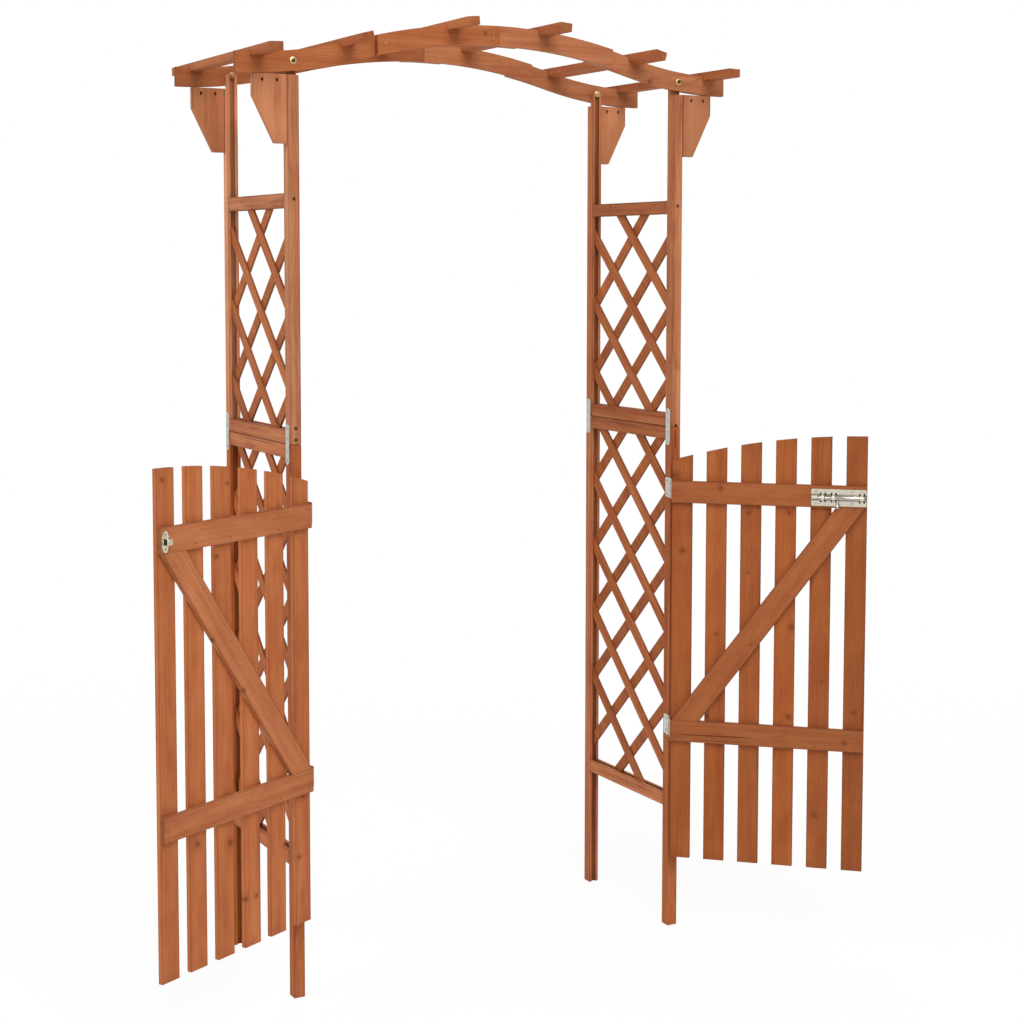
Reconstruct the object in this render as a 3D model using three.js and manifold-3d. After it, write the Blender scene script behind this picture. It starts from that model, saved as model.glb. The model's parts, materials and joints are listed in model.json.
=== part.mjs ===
import * as THREE from 'three';
import { mergeVertices } from 'three/addons/utils/BufferGeometryUtils.js';
import Module from 'manifold-3d';

// Garden arch with a pair of picket gate leaves. Millimetres, +Z up, front towards -Y.
// The leaves stand open towards the front.

const wasm = await Module();
wasm.setup();

// Posts and side panels
const arch_width = 956;
const arch_depth = 382;
const post_width = 25;
const post_depth = 26;
const post_joint_height = 1167;
const shoulder_drop = 0.6;
const tongue_height = 31;
const groove_width = 10.6;
const groove_depth = 6;
const rail_height = 29.7;
const top_rail_height = 1652;
const bottom_rail_height = 281;
const fit_gap = 0.3;
const overrun = 5;

// Lattice panels: two layers of crossing strips
const strip_width = 25;
const strip_thickness = 5;
const lattice_pitch_across = 168;
const lattice_pitch_up = 163;
const upper_crossing_height = 1442;
const lower_crossing_height = 689;
const layer_bond = 0.1;
const shortest_strip = 90;

// Roof beams: a crown that turns into flat shoulders
const beam_length = 1176;
const beam_depth = 42;
const beam_thickness = 14;
const beam_crown_height = 2043;
const beam_rise = 81;
const crown_reach = 330;
const shoulder_reach = 580;
const centre_board_reach = 284;
const lap_length = 60;
const splice_reach = 50;
const beam_steps = 14;

// Slats across the beams
const slat_length = 600;
const slat_width = 29;
const slat_thickness = 18;
const slat_stand = 9;
const slat_places = [110, 348, 543];

// Gusset boards under the beam ends
const gusset_width = 74;
const gusset_height = 139;
const gusset_edge = 45;
const gusset_foot = 27;

// Gate leaves
const gate_meeting_gap = 3;
const picket_count = 6;
const picket_width = 46;
const picket_thickness = 10;
const picket_foot_height = 172;
const gate_crown_rise = 110;
const gate_crown_radius = 1550;
const picket_top_steps = 4;
const gate_rail_height = 50;
const gate_rail_thickness = 10;
const lower_gate_rail_height = 446;
const upper_gate_rail_height = 997;
const brace_width = 50;
const brace_inset = 4;
const right_open_angle = THREE.MathUtils.degToRad(137);
const left_open_angle = THREE.MathUtils.degToRad(152);

// Butt hinges
const pin_radius = 2;
const pin_running_gap = 0.3;
const knuckle_radius = 4.5;
const knuckle_height = 45;
const hinge_rise = 6;
const hinge_plate_thickness = 1.5;
const hinge_plate_width = 20;
const pin_inset = 5.5;
const pin_forward = 4;
const leaf_setback = 8;
const hinge_sides = 16;

// Barrel bolt on the right leaf and its keeper on the left leaf
const bolt_plate_length = 122;
const bolt_plate_height = 38;
const bolt_plate_thickness = 1.5;
const bolt_drop = 2;
const bolt_bar_radius = 5.5;
const bolt_bar_length = 105;
const bolt_bar_setback = 3;
const bolt_guide_wall = 1.6;
const bolt_guide_width = 6.5;
const bolt_running_gap = 0.4;
const bolt_guide_places = [96, 72, 10];
const knob_place = 63.5;
const knob_stem_radius = 2.5;
const knob_radius = 5;
const knob_drop = 20;
const keeper_plate_width = 20;
const keeper_plate_height = 42;
const keeper_loop_width = 10;
const keeper_running_gap = 0.8;
const bolt_sides = 16;

// Places worked out from the sizes above
const half_width = arch_width / 2;
const half_depth = arch_depth / 2;
const post_inner = half_width - post_width;
const post_centre = half_width - post_width / 2;
const panel_inner = half_depth - post_depth;
const beam_end_height = beam_crown_height - beam_rise;
const shoulder_height = beam_end_height - beam_depth;
const leaf_length = post_inner - pin_inset - gate_meeting_gap / 2;
const leaf_back = pin_forward + picket_thickness + fit_gap + gate_rail_thickness;
const gate_crown_height = upper_gate_rail_height + gate_rail_height + gate_crown_rise;

const woods = {
  post: new THREE.MeshStandardMaterial({ color: 0xa3562f, roughness: 0.62, metalness: 0 }),
  rail: new THREE.MeshStandardMaterial({ color: 0xa95c35, roughness: 0.62, metalness: 0 }),
  lattice: new THREE.MeshStandardMaterial({ color: 0xa65a34, roughness: 0.66, metalness: 0 }),
  beam: new THREE.MeshStandardMaterial({ color: 0xac6038, roughness: 0.6, metalness: 0 }),
  slat: new THREE.MeshStandardMaterial({ color: 0xa6573a, roughness: 0.62, metalness: 0 }),
  gate: new THREE.MeshStandardMaterial({ color: 0x9f542f, roughness: 0.62, metalness: 0 }),
};
const zinc = new THREE.MeshStandardMaterial({ color: 0xb9b4a4, roughness: 0.38, metalness: 0.9 });
const steel = new THREE.MeshStandardMaterial({ color: 0xc4c4c2, roughness: 0.28, metalness: 1 });

const arch = new THREE.Group();

function toSolid(geometry) {
  const bare = geometry.clone();
  bare.deleteAttribute('normal');
  bare.deleteAttribute('uv');
  const merged = mergeVertices(bare);
  const vertProperties = new Float32Array(merged.attributes.position.array);
  const triVerts = new Uint32Array(merged.index.array);
  return new wasm.Manifold(new wasm.Mesh({ numProp: 3, vertProperties, triVerts }));
}

function toGeometry(solid) {
  const mesh = solid.getMesh();
  const geometry = new THREE.BufferGeometry();
  geometry.setAttribute('position', new THREE.BufferAttribute(mesh.vertProperties, mesh.numProp));
  geometry.setIndex(new THREE.BufferAttribute(mesh.triVerts, 1));
  geometry.computeVertexNormals();
  return geometry;
}

function addPiece(group, name, shape, material) {
  const geometry = shape.isBufferGeometry ? shape : toGeometry(shape);
  const piece = new THREE.Mesh(geometry, material);
  piece.name = name;
  group.add(piece);
  return piece;
}

// A box between two corners, in any order.
function block(from, to) {
  const size = [0, 1, 2].map((i) => Math.abs(to[i] - from[i]));
  const centre = [0, 1, 2].map((i) => (to[i] + from[i]) / 2);
  return new THREE.BoxGeometry(...size).translate(...centre);
}

// A board whose outline is drawn in X and Z, from y to y + thickness.
function board(outline, y, thickness) {
  const shape = new THREE.Shape(outline.map(([x, z]) => new THREE.Vector2(x, z)));
  const geometry = new THREE.ExtrudeGeometry(shape, { depth: thickness, bevelEnabled: false });
  geometry.rotateX(Math.PI / 2);
  geometry.translate(0, y + thickness, 0);
  return geometry;
}

function uprightCylinder(radius, height, x, y, z, sides) {
  return new THREE.CylinderGeometry(radius, radius, height, sides).rotateX(Math.PI / 2).translate(x, y, z);
}

function levelCylinder(radius, length, x, y, z, sides) {
  return new THREE.CylinderGeometry(radius, radius, length, sides).rotateZ(Math.PI / 2).translate(x, y, z);
}

const sides = [['left', -1], ['right', 1]];
const ends = [['front', -1], ['back', 1]];

// Posts: grooved for the lattice, parted at mid height, notched at the top for the beam.
function lowerPost(side, end) {
  const x = side * post_centre;
  const outer = end * half_depth;
  const inner = end * panel_inner;
  const top = post_joint_height - fit_gap / 2;
  const body = toSolid(block([x - post_width / 2, outer, 0], [x + post_width / 2, inner, top]));
  const groove = block(
    [x - groove_width / 2, inner - end * overrun, -overrun],
    [x + groove_width / 2, inner + end * groove_depth, top + overrun],
  );
  return body.subtract(toSolid(groove));
}

function upperPost(side, end) {
  const x = side * post_centre;
  const outer = end * half_depth;
  const inner = end * panel_inner;
  const bottom = post_joint_height + fit_gap / 2;
  const shoulder = shoulder_height - shoulder_drop;
  const top = shoulder + tongue_height;
  const body = toSolid(block([x - post_width / 2, outer, bottom], [x + post_width / 2, inner, top]));
  const groove = block(
    [x - groove_width / 2, inner - end * overrun, bottom - overrun],
    [x + groove_width / 2, inner + end * groove_depth, top + overrun],
  );
  const notch = block(
    [x - post_width, outer + end * overrun, shoulder],
    [x + post_width, outer - end * (beam_thickness + fit_gap), top + overrun],
  );
  return body.subtract(toSolid(groove)).subtract(toSolid(notch));
}

for (const [sideName, side] of sides) {
  for (const [endName, end] of ends) {
    addPiece(arch, `post_${sideName}_${endName}_lower`, lowerPost(side, end), woods.post);
    addPiece(arch, `post_${sideName}_${endName}_upper`, upperPost(side, end), woods.post);
  }
}

// Panel rails: the same grooved stock laid level between the posts.
function panelRail(side, bottom, grooveAbove) {
  const x = side * post_centre;
  const reach = panel_inner - fit_gap;
  const top = bottom + rail_height;
  const body = toSolid(block([x - post_width / 2, -reach, bottom], [x + post_width / 2, reach, top]));
  const face = grooveAbove ? top : bottom;
  const into = grooveAbove ? -1 : 1;
  const groove = block(
    [x - groove_width / 2, -reach - overrun, face - into * overrun],
    [x + groove_width / 2, reach + overrun, face + into * groove_depth],
  );
  return body.subtract(toSolid(groove));
}

const rail_bottoms = {
  top: top_rail_height,
  mid_upper: post_joint_height + fit_gap / 2,
  mid_lower: post_joint_height - fit_gap / 2 - rail_height,
  bottom: bottom_rail_height,
};

for (const [sideName, side] of sides) {
  for (const [railName, bottom] of Object.entries(rail_bottoms)) {
    const grooveAbove = railName === 'mid_upper' || railName === 'bottom';
    addPiece(arch, `rail_${sideName}_${railName}`, panelRail(side, bottom, grooveAbove), woods.rail);
  }
}

// Lattice: each layer leans its own way, and the panel is cut to the grooves round it.
// A strip whose cut length would rise less than the shortest strip is left out.
function latticeLayer(lean, xFrom, xTo, crossing, bottom, top) {
  const slope = Math.atan2(lattice_pitch_up, lattice_pitch_across);
  const reach = half_depth / Math.cos(slope);
  const low = Math.floor((bottom - crossing - half_depth) / lattice_pitch_up);
  const high = Math.ceil((top - crossing + half_depth) / lattice_pitch_up);
  const side = panel_inner + groove_depth - fit_gap;
  const frame = toSolid(block([xFrom - post_width, -side, bottom], [xTo + post_width, side, top]));
  let layer = null;
  for (let row = low; row <= high; row += 1) {
    const strip = block([xFrom, -reach, -strip_width / 2], [xTo, reach, strip_width / 2]);
    strip.rotateX(lean * slope);
    strip.translate(0, 0, crossing + row * lattice_pitch_up);
    const cut = toSolid(strip).intersect(frame);
    if (cut.isEmpty() || cut.boundingBox().max[2] - cut.boundingBox().min[2] < shortest_strip) {
      continue;
    }
    layer = layer ? layer.add(cut) : cut;
  }
  return layer;
}

function latticePanel(side, crossing, bottom, top) {
  const x = side * post_centre;
  const nearLayer = latticeLayer(1, x - strip_thickness, x + layer_bond, crossing, bottom, top);
  const farLayer = latticeLayer(-1, x - layer_bond, x + strip_thickness, crossing, bottom, top);
  // A strip that crosses no other has nothing to hold it.
  return nearLayer.add(farLayer).decompose().sort((a, b) => b.volume() - a.volume())[0];
}

for (const [sideName, side] of sides) {
  const seat = groove_depth - fit_gap;
  const upperBottom = rail_bottoms.mid_upper + rail_height - seat;
  const upperTop = rail_bottoms.top + seat;
  const lowerBottom = rail_bottoms.bottom + rail_height - seat;
  const lowerTop = rail_bottoms.mid_lower + seat;
  const upper = latticePanel(side, upper_crossing_height, upperBottom, upperTop);
  const lower = latticePanel(side, lower_crossing_height, lowerBottom, lowerTop);
  addPiece(arch, `lattice_${sideName}_upper`, upper, woods.lattice);
  addPiece(arch, `lattice_${sideName}_lower`, lower, woods.lattice);
}

// Beams: the top edge is a crown curve that turns back into a flat shoulder.
const crown_slope = (2 * beam_rise) / shoulder_reach;

function beamTop(x) {
  const out = Math.abs(x);
  if (out <= crown_reach) {
    return beam_crown_height - (crown_slope * out * out) / (2 * crown_reach);
  }
  const left = Math.max(shoulder_reach - out, 0);
  return beam_end_height + (crown_slope * left * left) / (2 * (shoulder_reach - crown_reach));
}

function beamLean(x) {
  const out = Math.abs(x);
  const left = Math.max(shoulder_reach - out, 0);
  const slope = out <= crown_reach
    ? (crown_slope * out) / crown_reach
    : (crown_slope * left) / (shoulder_reach - crown_reach);
  return Math.sign(x) * Math.atan(slope);
}

function beamBoard(from, to, y) {
  const steps = Array.from({ length: beam_steps + 1 }, (_, i) => from + ((to - from) * i) / beam_steps);
  const above = steps.map((x) => [x, beamTop(x)]);
  const below = steps.map((x) => [x, beamTop(x) - beam_depth]).reverse();
  return toSolid(board([...above, ...below], y, beam_thickness));
}

function slatBlock(place, growth) {
  const halfWide = slat_width / 2 + growth;
  const halfLong = slat_length / 2 + growth;
  const slat = block([-halfWide, -halfLong, -slat_thickness / 2 - growth], [halfWide, halfLong, slat_thickness / 2]);
  slat.rotateY(beamLean(place));
  slat.translate(place, 0, beamTop(place) + slat_stand - slat_thickness / 2);
  return slat;
}

function halfBeam(side, end) {
  const outerFace = end < 0 ? -half_depth : half_depth - beam_thickness;
  const centreFace = outerFace - beam_thickness;
  const outer = beamBoard(side * (centre_board_reach - lap_length), (side * beam_length) / 2, outerFace);
  const centre = beamBoard((side * fit_gap) / 2, side * centre_board_reach, centreFace);
  let beam = outer.add(centre);
  if (side > 0) {
    const splice = beamBoard(-splice_reach, splice_reach, outerFace + fit_gap);
    const bond = beamBoard(fit_gap / 2, splice_reach, outerFace - layer_bond);
    beam = beam.add(splice).add(bond);
  }
  for (const place of slat_places) {
    beam = beam.subtract(toSolid(slatBlock(side * place, fit_gap)));
  }
  return beam;
}

for (const [endName, end] of ends) {
  for (const [sideName, side] of sides) {
    addPiece(arch, `beam_${endName}_${sideName}`, halfBeam(side, end), woods.beam);
  }
}

// Slats: let into the beams and leaning with their slope, numbered from the left.
const slat_row = [...slat_places.map((place) => -place).reverse(), ...slat_places];
slat_row.forEach((place, i) => addPiece(arch, `slat_${i + 1}`, slatBlock(place, 0), woods.slat));

// Gussets: in line with the beam, against the outer face of each post.
for (const [endName, end] of ends) {
  for (const [sideName, side] of sides) {
    const root = side * (half_width + fit_gap);
    const top = shoulder_height - fit_gap;
    const outline = [
      [root, top],
      [root + side * gusset_width, top],
      [root + side * gusset_width, top - gusset_edge],
      [root + side * gusset_foot, top - gusset_height],
      [root, top - gusset_height],
    ];
    const face = end < 0 ? -half_depth : half_depth - beam_thickness;
    addPiece(arch, `gusset_${sideName}_${endName}`, board(outline, face, beam_thickness), woods.beam);
  }
}

// Gate leaves: drawn closed, with the hinge pin as origin, then turned open about the pin.
const gate_rail_centres = {
  lower: lower_gate_rail_height + gate_rail_height / 2,
  upper: upper_gate_rail_height + gate_rail_height / 2,
};

function gateTop(s) {
  const out = leaf_length + gate_meeting_gap / 2 - s;
  return gate_crown_height - gate_crown_radius + Math.sqrt(gate_crown_radius ** 2 - out ** 2);
}

function picket(reach, index) {
  const pitch = (leaf_length - leaf_setback - picket_width) / (picket_count - 1);
  const from = leaf_setback + index * pitch;
  const crown = Array.from({ length: picket_top_steps + 1 }, (_, i) => from + (picket_width * i) / picket_top_steps);
  const outline = [
    [reach * from, picket_foot_height],
    ...crown.map((s) => [reach * s, gateTop(s)]),
    [reach * (from + picket_width), picket_foot_height],
  ];
  return board(outline, pin_forward, picket_thickness);
}

function gateFrame(reach) {
  const face = leaf_back - gate_rail_thickness;
  const lowerTop = lower_gate_rail_height + gate_rail_height;
  const rail = (bottom) => toSolid(block(
    [reach * leaf_setback, face, bottom],
    [reach * leaf_length, leaf_back, bottom + gate_rail_height],
  ));
  const rise = upper_gate_rail_height - lowerTop;
  const run = leaf_length - leaf_setback - 2 * brace_inset;
  const across = (run * brace_width) / Math.hypot(run, rise);
  const slant = Math.hypot(run - across, rise);
  const width = (brace_width * slant) / rise;
  const start = leaf_setback + brace_inset;
  const finish = leaf_length - brace_inset;
  const brace = board([
    [reach * start, lowerTop - layer_bond],
    [reach * (start + width), lowerTop - layer_bond],
    [reach * finish, upper_gate_rail_height + layer_bond],
    [reach * (finish - width), upper_gate_rail_height + layer_bond],
  ], face, gate_rail_thickness);
  return rail(lower_gate_rail_height).add(rail(upper_gate_rail_height)).add(toSolid(brace));
}

// The post's half of a hinge carries the pin and the two outer knuckles.
function hingePostHalf(reach, z) {
  const third = knuckle_height / 3;
  const face = -reach * (pin_inset - fit_gap);
  const plate = block(
    [face, 0, z - knuckle_height / 2],
    [face + reach * hinge_plate_thickness, pin_forward + hinge_plate_width, z + knuckle_height / 2],
  );
  const middle = uprightCylinder(knuckle_radius + pin_running_gap, third + fit_gap, 0, 0, z, hinge_sides);
  const clear = block(
    [face + reach * hinge_plate_thickness + reach * overrun, -knuckle_radius, z - (third + fit_gap) / 2],
    [face - reach * layer_bond, knuckle_radius + pin_running_gap, z + (third + fit_gap) / 2],
  );
  const knuckles = [-third, third].map((dz) => toSolid(
    uprightCylinder(knuckle_radius, third - fit_gap, 0, 0, z + dz, hinge_sides),
  ));
  const pin = toSolid(uprightCylinder(pin_radius, knuckle_height - fit_gap, 0, 0, z, hinge_sides));
  let half = toSolid(plate).add(knuckles[0]).add(knuckles[1]);
  half = half.subtract(toSolid(middle)).subtract(toSolid(clear));
  return half.add(pin);
}

// The leaf's half has the middle knuckle, which turns on the pin.
function hingeLeafHalf(reach, z) {
  const third = knuckle_height / 3 - fit_gap;
  const face = reach * (leaf_setback - fit_gap);
  const root = face - reach * hinge_plate_thickness;
  const plate = block(
    [root, -hinge_plate_thickness / 2, z - knuckle_height / 2],
    [face, pin_forward + hinge_plate_width, z + knuckle_height / 2],
  );
  const web = block(
    [reach * pin_radius, -hinge_plate_thickness / 2, z - third / 2],
    [face, hinge_plate_thickness / 2, z + third / 2],
  );
  const knuckle = uprightCylinder(knuckle_radius, third, 0, 0, z, hinge_sides);
  const bore = uprightCylinder(pin_radius + pin_running_gap, third + overrun, 0, 0, z, hinge_sides);
  return toSolid(plate).add(toSolid(web)).add(toSolid(knuckle)).subtract(toSolid(bore));
}

// A half-round guide strap on a plate, with its feet on the plate's face.
function guideStrap(from, to, face, axis, z, bore) {
  const outer = bore + bolt_guide_wall;
  const length = Math.abs(to - from);
  const x = (from + to) / 2;
  const barrel = toSolid(levelCylinder(outer, length, x, axis, z, bolt_sides));
  const foot = toSolid(block([from, face - layer_bond, z - outer], [to, axis, z + outer]));
  const hole = toSolid(levelCylinder(bore, length + overrun, x, axis, z, bolt_sides));
  return barrel.add(foot).subtract(hole);
}

const bolt_face = leaf_back + fit_gap;
const bolt_plate_face = bolt_face + bolt_plate_thickness;
const bolt_bore = bolt_bar_radius + bolt_running_gap;
const keeper_bore = bolt_bar_radius + keeper_running_gap;
const bolt_axis = bolt_plate_face + keeper_bore + fit_gap;
const bolt_height = gate_rail_centres.upper - bolt_drop;

function boltBody(reach) {
  const end = leaf_length;
  const plate = block(
    [reach * (end - bolt_plate_length), bolt_face, bolt_height - bolt_plate_height / 2],
    [reach * end, bolt_plate_face, bolt_height + bolt_plate_height / 2],
  );
  let body = toSolid(plate);
  for (const place of bolt_guide_places) {
    const from = reach * (end - place - bolt_guide_width / 2);
    const to = reach * (end - place + bolt_guide_width / 2);
    body = body.add(guideStrap(from, to, bolt_plate_face, bolt_axis, bolt_height, bolt_bore));
  }
  return body;
}

function boltBar(reach) {
  const end = leaf_length - bolt_bar_setback;
  const middle = reach * (end - bolt_bar_length / 2);
  const bar = levelCylinder(bolt_bar_radius, bolt_bar_length, middle, bolt_axis, bolt_height, bolt_sides);
  const x = reach * (leaf_length - knob_place);
  const stem = uprightCylinder(knob_stem_radius, knob_drop, x, bolt_axis, bolt_height - knob_drop / 2, bolt_sides);
  const knob = new THREE.SphereGeometry(knob_radius, bolt_sides, bolt_sides / 2);
  knob.translate(x, bolt_axis, bolt_height - knob_drop);
  return toSolid(bar).add(toSolid(stem)).add(toSolid(knob));
}

function keeper(reach) {
  const end = leaf_length;
  const plate = block(
    [reach * (end - keeper_plate_width), bolt_face, bolt_height - keeper_plate_height / 2],
    [reach * end, bolt_plate_face, bolt_height + keeper_plate_height / 2],
  );
  const centre = end - keeper_plate_width / 2;
  const from = reach * (centre - keeper_loop_width / 2);
  const to = reach * (centre + keeper_loop_width / 2);
  const loop = guideStrap(from, to, bolt_plate_face, bolt_axis, bolt_height, keeper_bore);
  return toSolid(plate).add(loop);
}

for (const [sideName, side] of sides) {
  const reach = -side;
  const hanging = new THREE.Group();
  hanging.position.set(side * (post_inner - pin_inset), -half_depth - pin_forward, 0);
  arch.add(hanging);
  const leaf = new THREE.Group();
  leaf.rotation.z = side > 0 ? right_open_angle : -left_open_angle;
  hanging.add(leaf);
  for (let index = 0; index < picket_count; index += 1) {
    addPiece(leaf, `gate_${sideName}_picket_${index + 1}`, picket(reach, index), woods.gate);
  }
  addPiece(leaf, `gate_${sideName}_frame`, gateFrame(reach), woods.gate);
  for (const [height, centre] of Object.entries(gate_rail_centres)) {
    const z = centre + hinge_rise;
    addPiece(hanging, `hinge_${sideName}_${height}_post_plate`, hingePostHalf(reach, z), zinc);
    addPiece(leaf, `hinge_${sideName}_${height}_gate_plate`, hingeLeafHalf(reach, z), zinc);
  }
  if (side > 0) {
    addPiece(leaf, 'bolt_body', boltBody(reach), zinc);
    addPiece(leaf, 'bolt_bar', boltBar(reach), steel);
  } else {
    addPiece(leaf, 'bolt_keeper', keeper(reach), zinc);
  }
}

// The origin is the middle of the whole object's footprint, on the ground.
const extent = new THREE.Box3().setFromObject(arch, true);
const middle = extent.getCenter(new THREE.Vector3());
arch.position.set(-middle.x, -middle.y, -extent.min.z);

export default arch;
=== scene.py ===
import json
import math
import random

import bmesh
import bpy
from mathutils import Matrix, Vector


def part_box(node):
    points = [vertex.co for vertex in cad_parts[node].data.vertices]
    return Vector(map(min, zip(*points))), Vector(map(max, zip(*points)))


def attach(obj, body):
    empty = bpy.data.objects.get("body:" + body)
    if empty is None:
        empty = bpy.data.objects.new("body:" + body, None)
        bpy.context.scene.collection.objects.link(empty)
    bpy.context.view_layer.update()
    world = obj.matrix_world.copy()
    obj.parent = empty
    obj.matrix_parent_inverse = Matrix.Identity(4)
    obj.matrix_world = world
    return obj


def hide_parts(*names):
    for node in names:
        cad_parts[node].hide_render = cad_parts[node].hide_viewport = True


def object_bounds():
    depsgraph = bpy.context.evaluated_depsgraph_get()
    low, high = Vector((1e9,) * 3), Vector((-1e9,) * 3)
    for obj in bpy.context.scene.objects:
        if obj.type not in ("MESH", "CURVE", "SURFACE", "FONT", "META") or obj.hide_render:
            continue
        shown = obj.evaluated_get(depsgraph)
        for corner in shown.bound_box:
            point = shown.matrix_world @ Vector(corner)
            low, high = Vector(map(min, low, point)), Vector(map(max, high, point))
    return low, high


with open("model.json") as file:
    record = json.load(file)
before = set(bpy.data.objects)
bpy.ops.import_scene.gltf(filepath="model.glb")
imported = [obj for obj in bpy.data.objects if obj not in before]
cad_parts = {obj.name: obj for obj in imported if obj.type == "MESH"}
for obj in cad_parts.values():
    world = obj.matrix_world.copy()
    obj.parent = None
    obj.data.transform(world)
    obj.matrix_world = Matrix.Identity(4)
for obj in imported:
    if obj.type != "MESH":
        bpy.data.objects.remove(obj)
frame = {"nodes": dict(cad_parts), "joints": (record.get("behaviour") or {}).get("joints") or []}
cad_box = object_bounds()

# Posts. Planed fir battens about 25 mm square, grooved on the inner side for the lattice and dipped
# in a red-brown stain. Each is two lengths that meet end to end, and the upper one ends in a
# tongue behind the roof beam. Sunk screws go through them into the ends of the panel rails.

ACROSS = Vector((1, 0, 0))
BACKWARD = Vector((0, 1, 0))
UP = Vector((0, 0, 1))
SIDES = ("left", "right")
ENDS = ("front", "back")


class Level:
    """A value on its way through a finish. Arithmetic on it adds the nodes."""

    def __init__(self, finish, socket):
        self.finish = finish
        self.socket = socket

    def work(self, operation, first, second=0.0):
        return self.finish.node("ShaderNodeMath", {"operation": operation}, {0: first, 1: second})

    def __add__(self, other):
        return self.work("ADD", self, other)

    def __sub__(self, other):
        return self.work("SUBTRACT", self, other)

    def __rsub__(self, other):
        return self.work("SUBTRACT", other, self)

    def __mul__(self, other):
        return self.work("MULTIPLY", self, other)

    def __truediv__(self, other):
        return self.work("DIVIDE", self, other)

    def __pow__(self, other):
        return self.work("POWER", self, other)

    def __gt__(self, other):
        return self.work("GREATER_THAN", self, other)

    def __abs__(self):
        return self.work("ABSOLUTE", self)

    def fraction(self):
        return self.work("FRACT", self)

    __radd__ = __add__
    __rmul__ = __mul__


class Finish:
    """One material, built node by node round a single surface shader."""

    def __init__(self, name):
        self.material = bpy.data.materials.new(name)
        self.material.use_nodes = True
        self.tree = self.material.node_tree
        self.surface = self.tree.nodes["Principled BSDF"]

    def node(self, kind, settings=None, inputs=None, output=0):
        """Adds a node: its settings first, then its values and links."""
        made = self.tree.nodes.new(kind)
        for setting, value in (settings or {}).items():
            setattr(made, setting, value)
        self.join(made, inputs or {})
        return Level(self, made.outputs[output])

    def join(self, made, inputs):
        for key, value in inputs.items():
            if isinstance(value, Level):
                self.tree.links.new(value.socket, made.inputs[key])
            else:
                made.inputs[key].default_value = value

    def show(self, **inputs):
        self.join(self.surface, {key.replace("_", " "): value for key, value in inputs.items()})

    def vector(self, operation, first, second):
        return self.node("ShaderNodeVectorMath", {"operation": operation}, {0: first, 1: second})

    def part_of(self, vector, direction):
        """How far a vector reaches along a direction."""
        settings = {"operation": "DOT_PRODUCT"}
        return self.node("ShaderNodeVectorMath", settings, {0: vector, 1: direction}, "Value")

    def noise(self, place, scales, detail=2.0, rough=0.5):
        """Soft noise around zero, with its own number of waves per metre each way."""
        place = self.vector("MULTIPLY", place, scales)
        inputs = {"Vector": place, "Scale": 1.0, "Detail": detail, "Roughness": rough}
        return self.node("ShaderNodeTexNoise", {}, inputs) - 0.5

    def fade(self, value, start, end, low=0.0, high=1.0):
        """Runs smoothly from low to high as the value goes from start to end."""
        settings = {"interpolation_type": "SMOOTHSTEP"}
        return self.node("ShaderNodeMapRange", settings, {0: value, 1: start, 2: end, 3: low, 4: high})

    def ramp(self, value, colours):
        made = self.node("ShaderNodeValToRGB", {}, {0: value})
        elements = made.socket.node.color_ramp.elements
        while len(elements) < len(colours):
            elements.new(0.5)
        for element, (position, colour) in zip(elements, colours):
            element.position = position
            element.color = colour
        return made

    def scaled(self, colour, factor):
        return self.node("ShaderNodeVectorMath", {"operation": "SCALE"}, {0: colour, "Scale": factor})

    def mixed(self, factor, first, second):
        settings = {"data_type": "RGBA", "blend_type": "MIX"}
        return self.node("ShaderNodeMix", settings, {0: factor, 6: first, 7: second}, 2)


def colour(code, warmth=0.0):
    """A paint code in the light values a shader takes, warmed by taking out some blue and green."""
    parts = [int(code[i:i + 2], 16) / 255 for i in (0, 2, 4)]
    parts = [part / 12.92 if part <= 0.04045 else ((part + 0.055) / 1.055) ** 2.4 for part in parts]
    return (parts[0], parts[1] * (1 - warmth * 0.42), parts[2] * (1 - warmth), 1.0)


class Cut:
    """One board of a piece: its middle and half sizes, how it was cut and how dark its stain took."""

    def __init__(self, low, high, along, across, tone=1.0, past=None):
        self.middle = (low + high) / 2
        self.along = along
        self.across = across
        self.through = along.cross(across)
        half = (high - low) / 2
        ways = (self.along, self.across, self.through)
        self.half = [sum(abs(way[i]) * half[i] for i in range(3)) for way in ways]
        self.tone = tone
        self.past = past


# The stain's colours from its darkest line to its lightest.
STAINS = ((0.0, "6f361a"), (0.3, "945131"), (0.5, "a3623c"), (0.72, "b06f47"), (1.0, "be7f57"))
ring_gap = 0.0042
arris_reach = 0.0028
groove_width = 0.0106
groove_depth = 0.006
groove_lip = (0.0004, 0.0012)
end_soak = 0.03
relief_depth = 0.0006

# Waves per metre along the grain, across it and through the board.
band_waves = (1.4, 46.0, 46.0)
cloud_waves = (6.0, 22.0, 22.0)
blotch_waves = (16.0, 34.0, 34.0)
streak_waves = (3.5, 170.0, 170.0)
fibre_waves = (28.0, 800.0, 800.0)
dash_waves = (26.0, 380.0, 380.0)
wander_waves = (2.4, 7.0, 7.0)
ragged_waves = (120.0, 210.0, 210.0)

# The share of the light that each mark takes away.
dash_shade = 0.12
soak_shade = 0.08
halo_shade = 0.16
split_shade = 0.62
sunk_shade = 0.7
groove_shade = 0.5

knot_stain = "6f2f14"
knot_cover = 0.7
middle_light = 0.53
wood_roughness = 0.64
wood_gloss = 0.16

# Where in its log a board lies: how far along it at most, and how far from the heart.
log_length = 40
island_shift = 30.0
heart_aside_most = 0.018
heart_depths = (0.022, 0.05)


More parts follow.
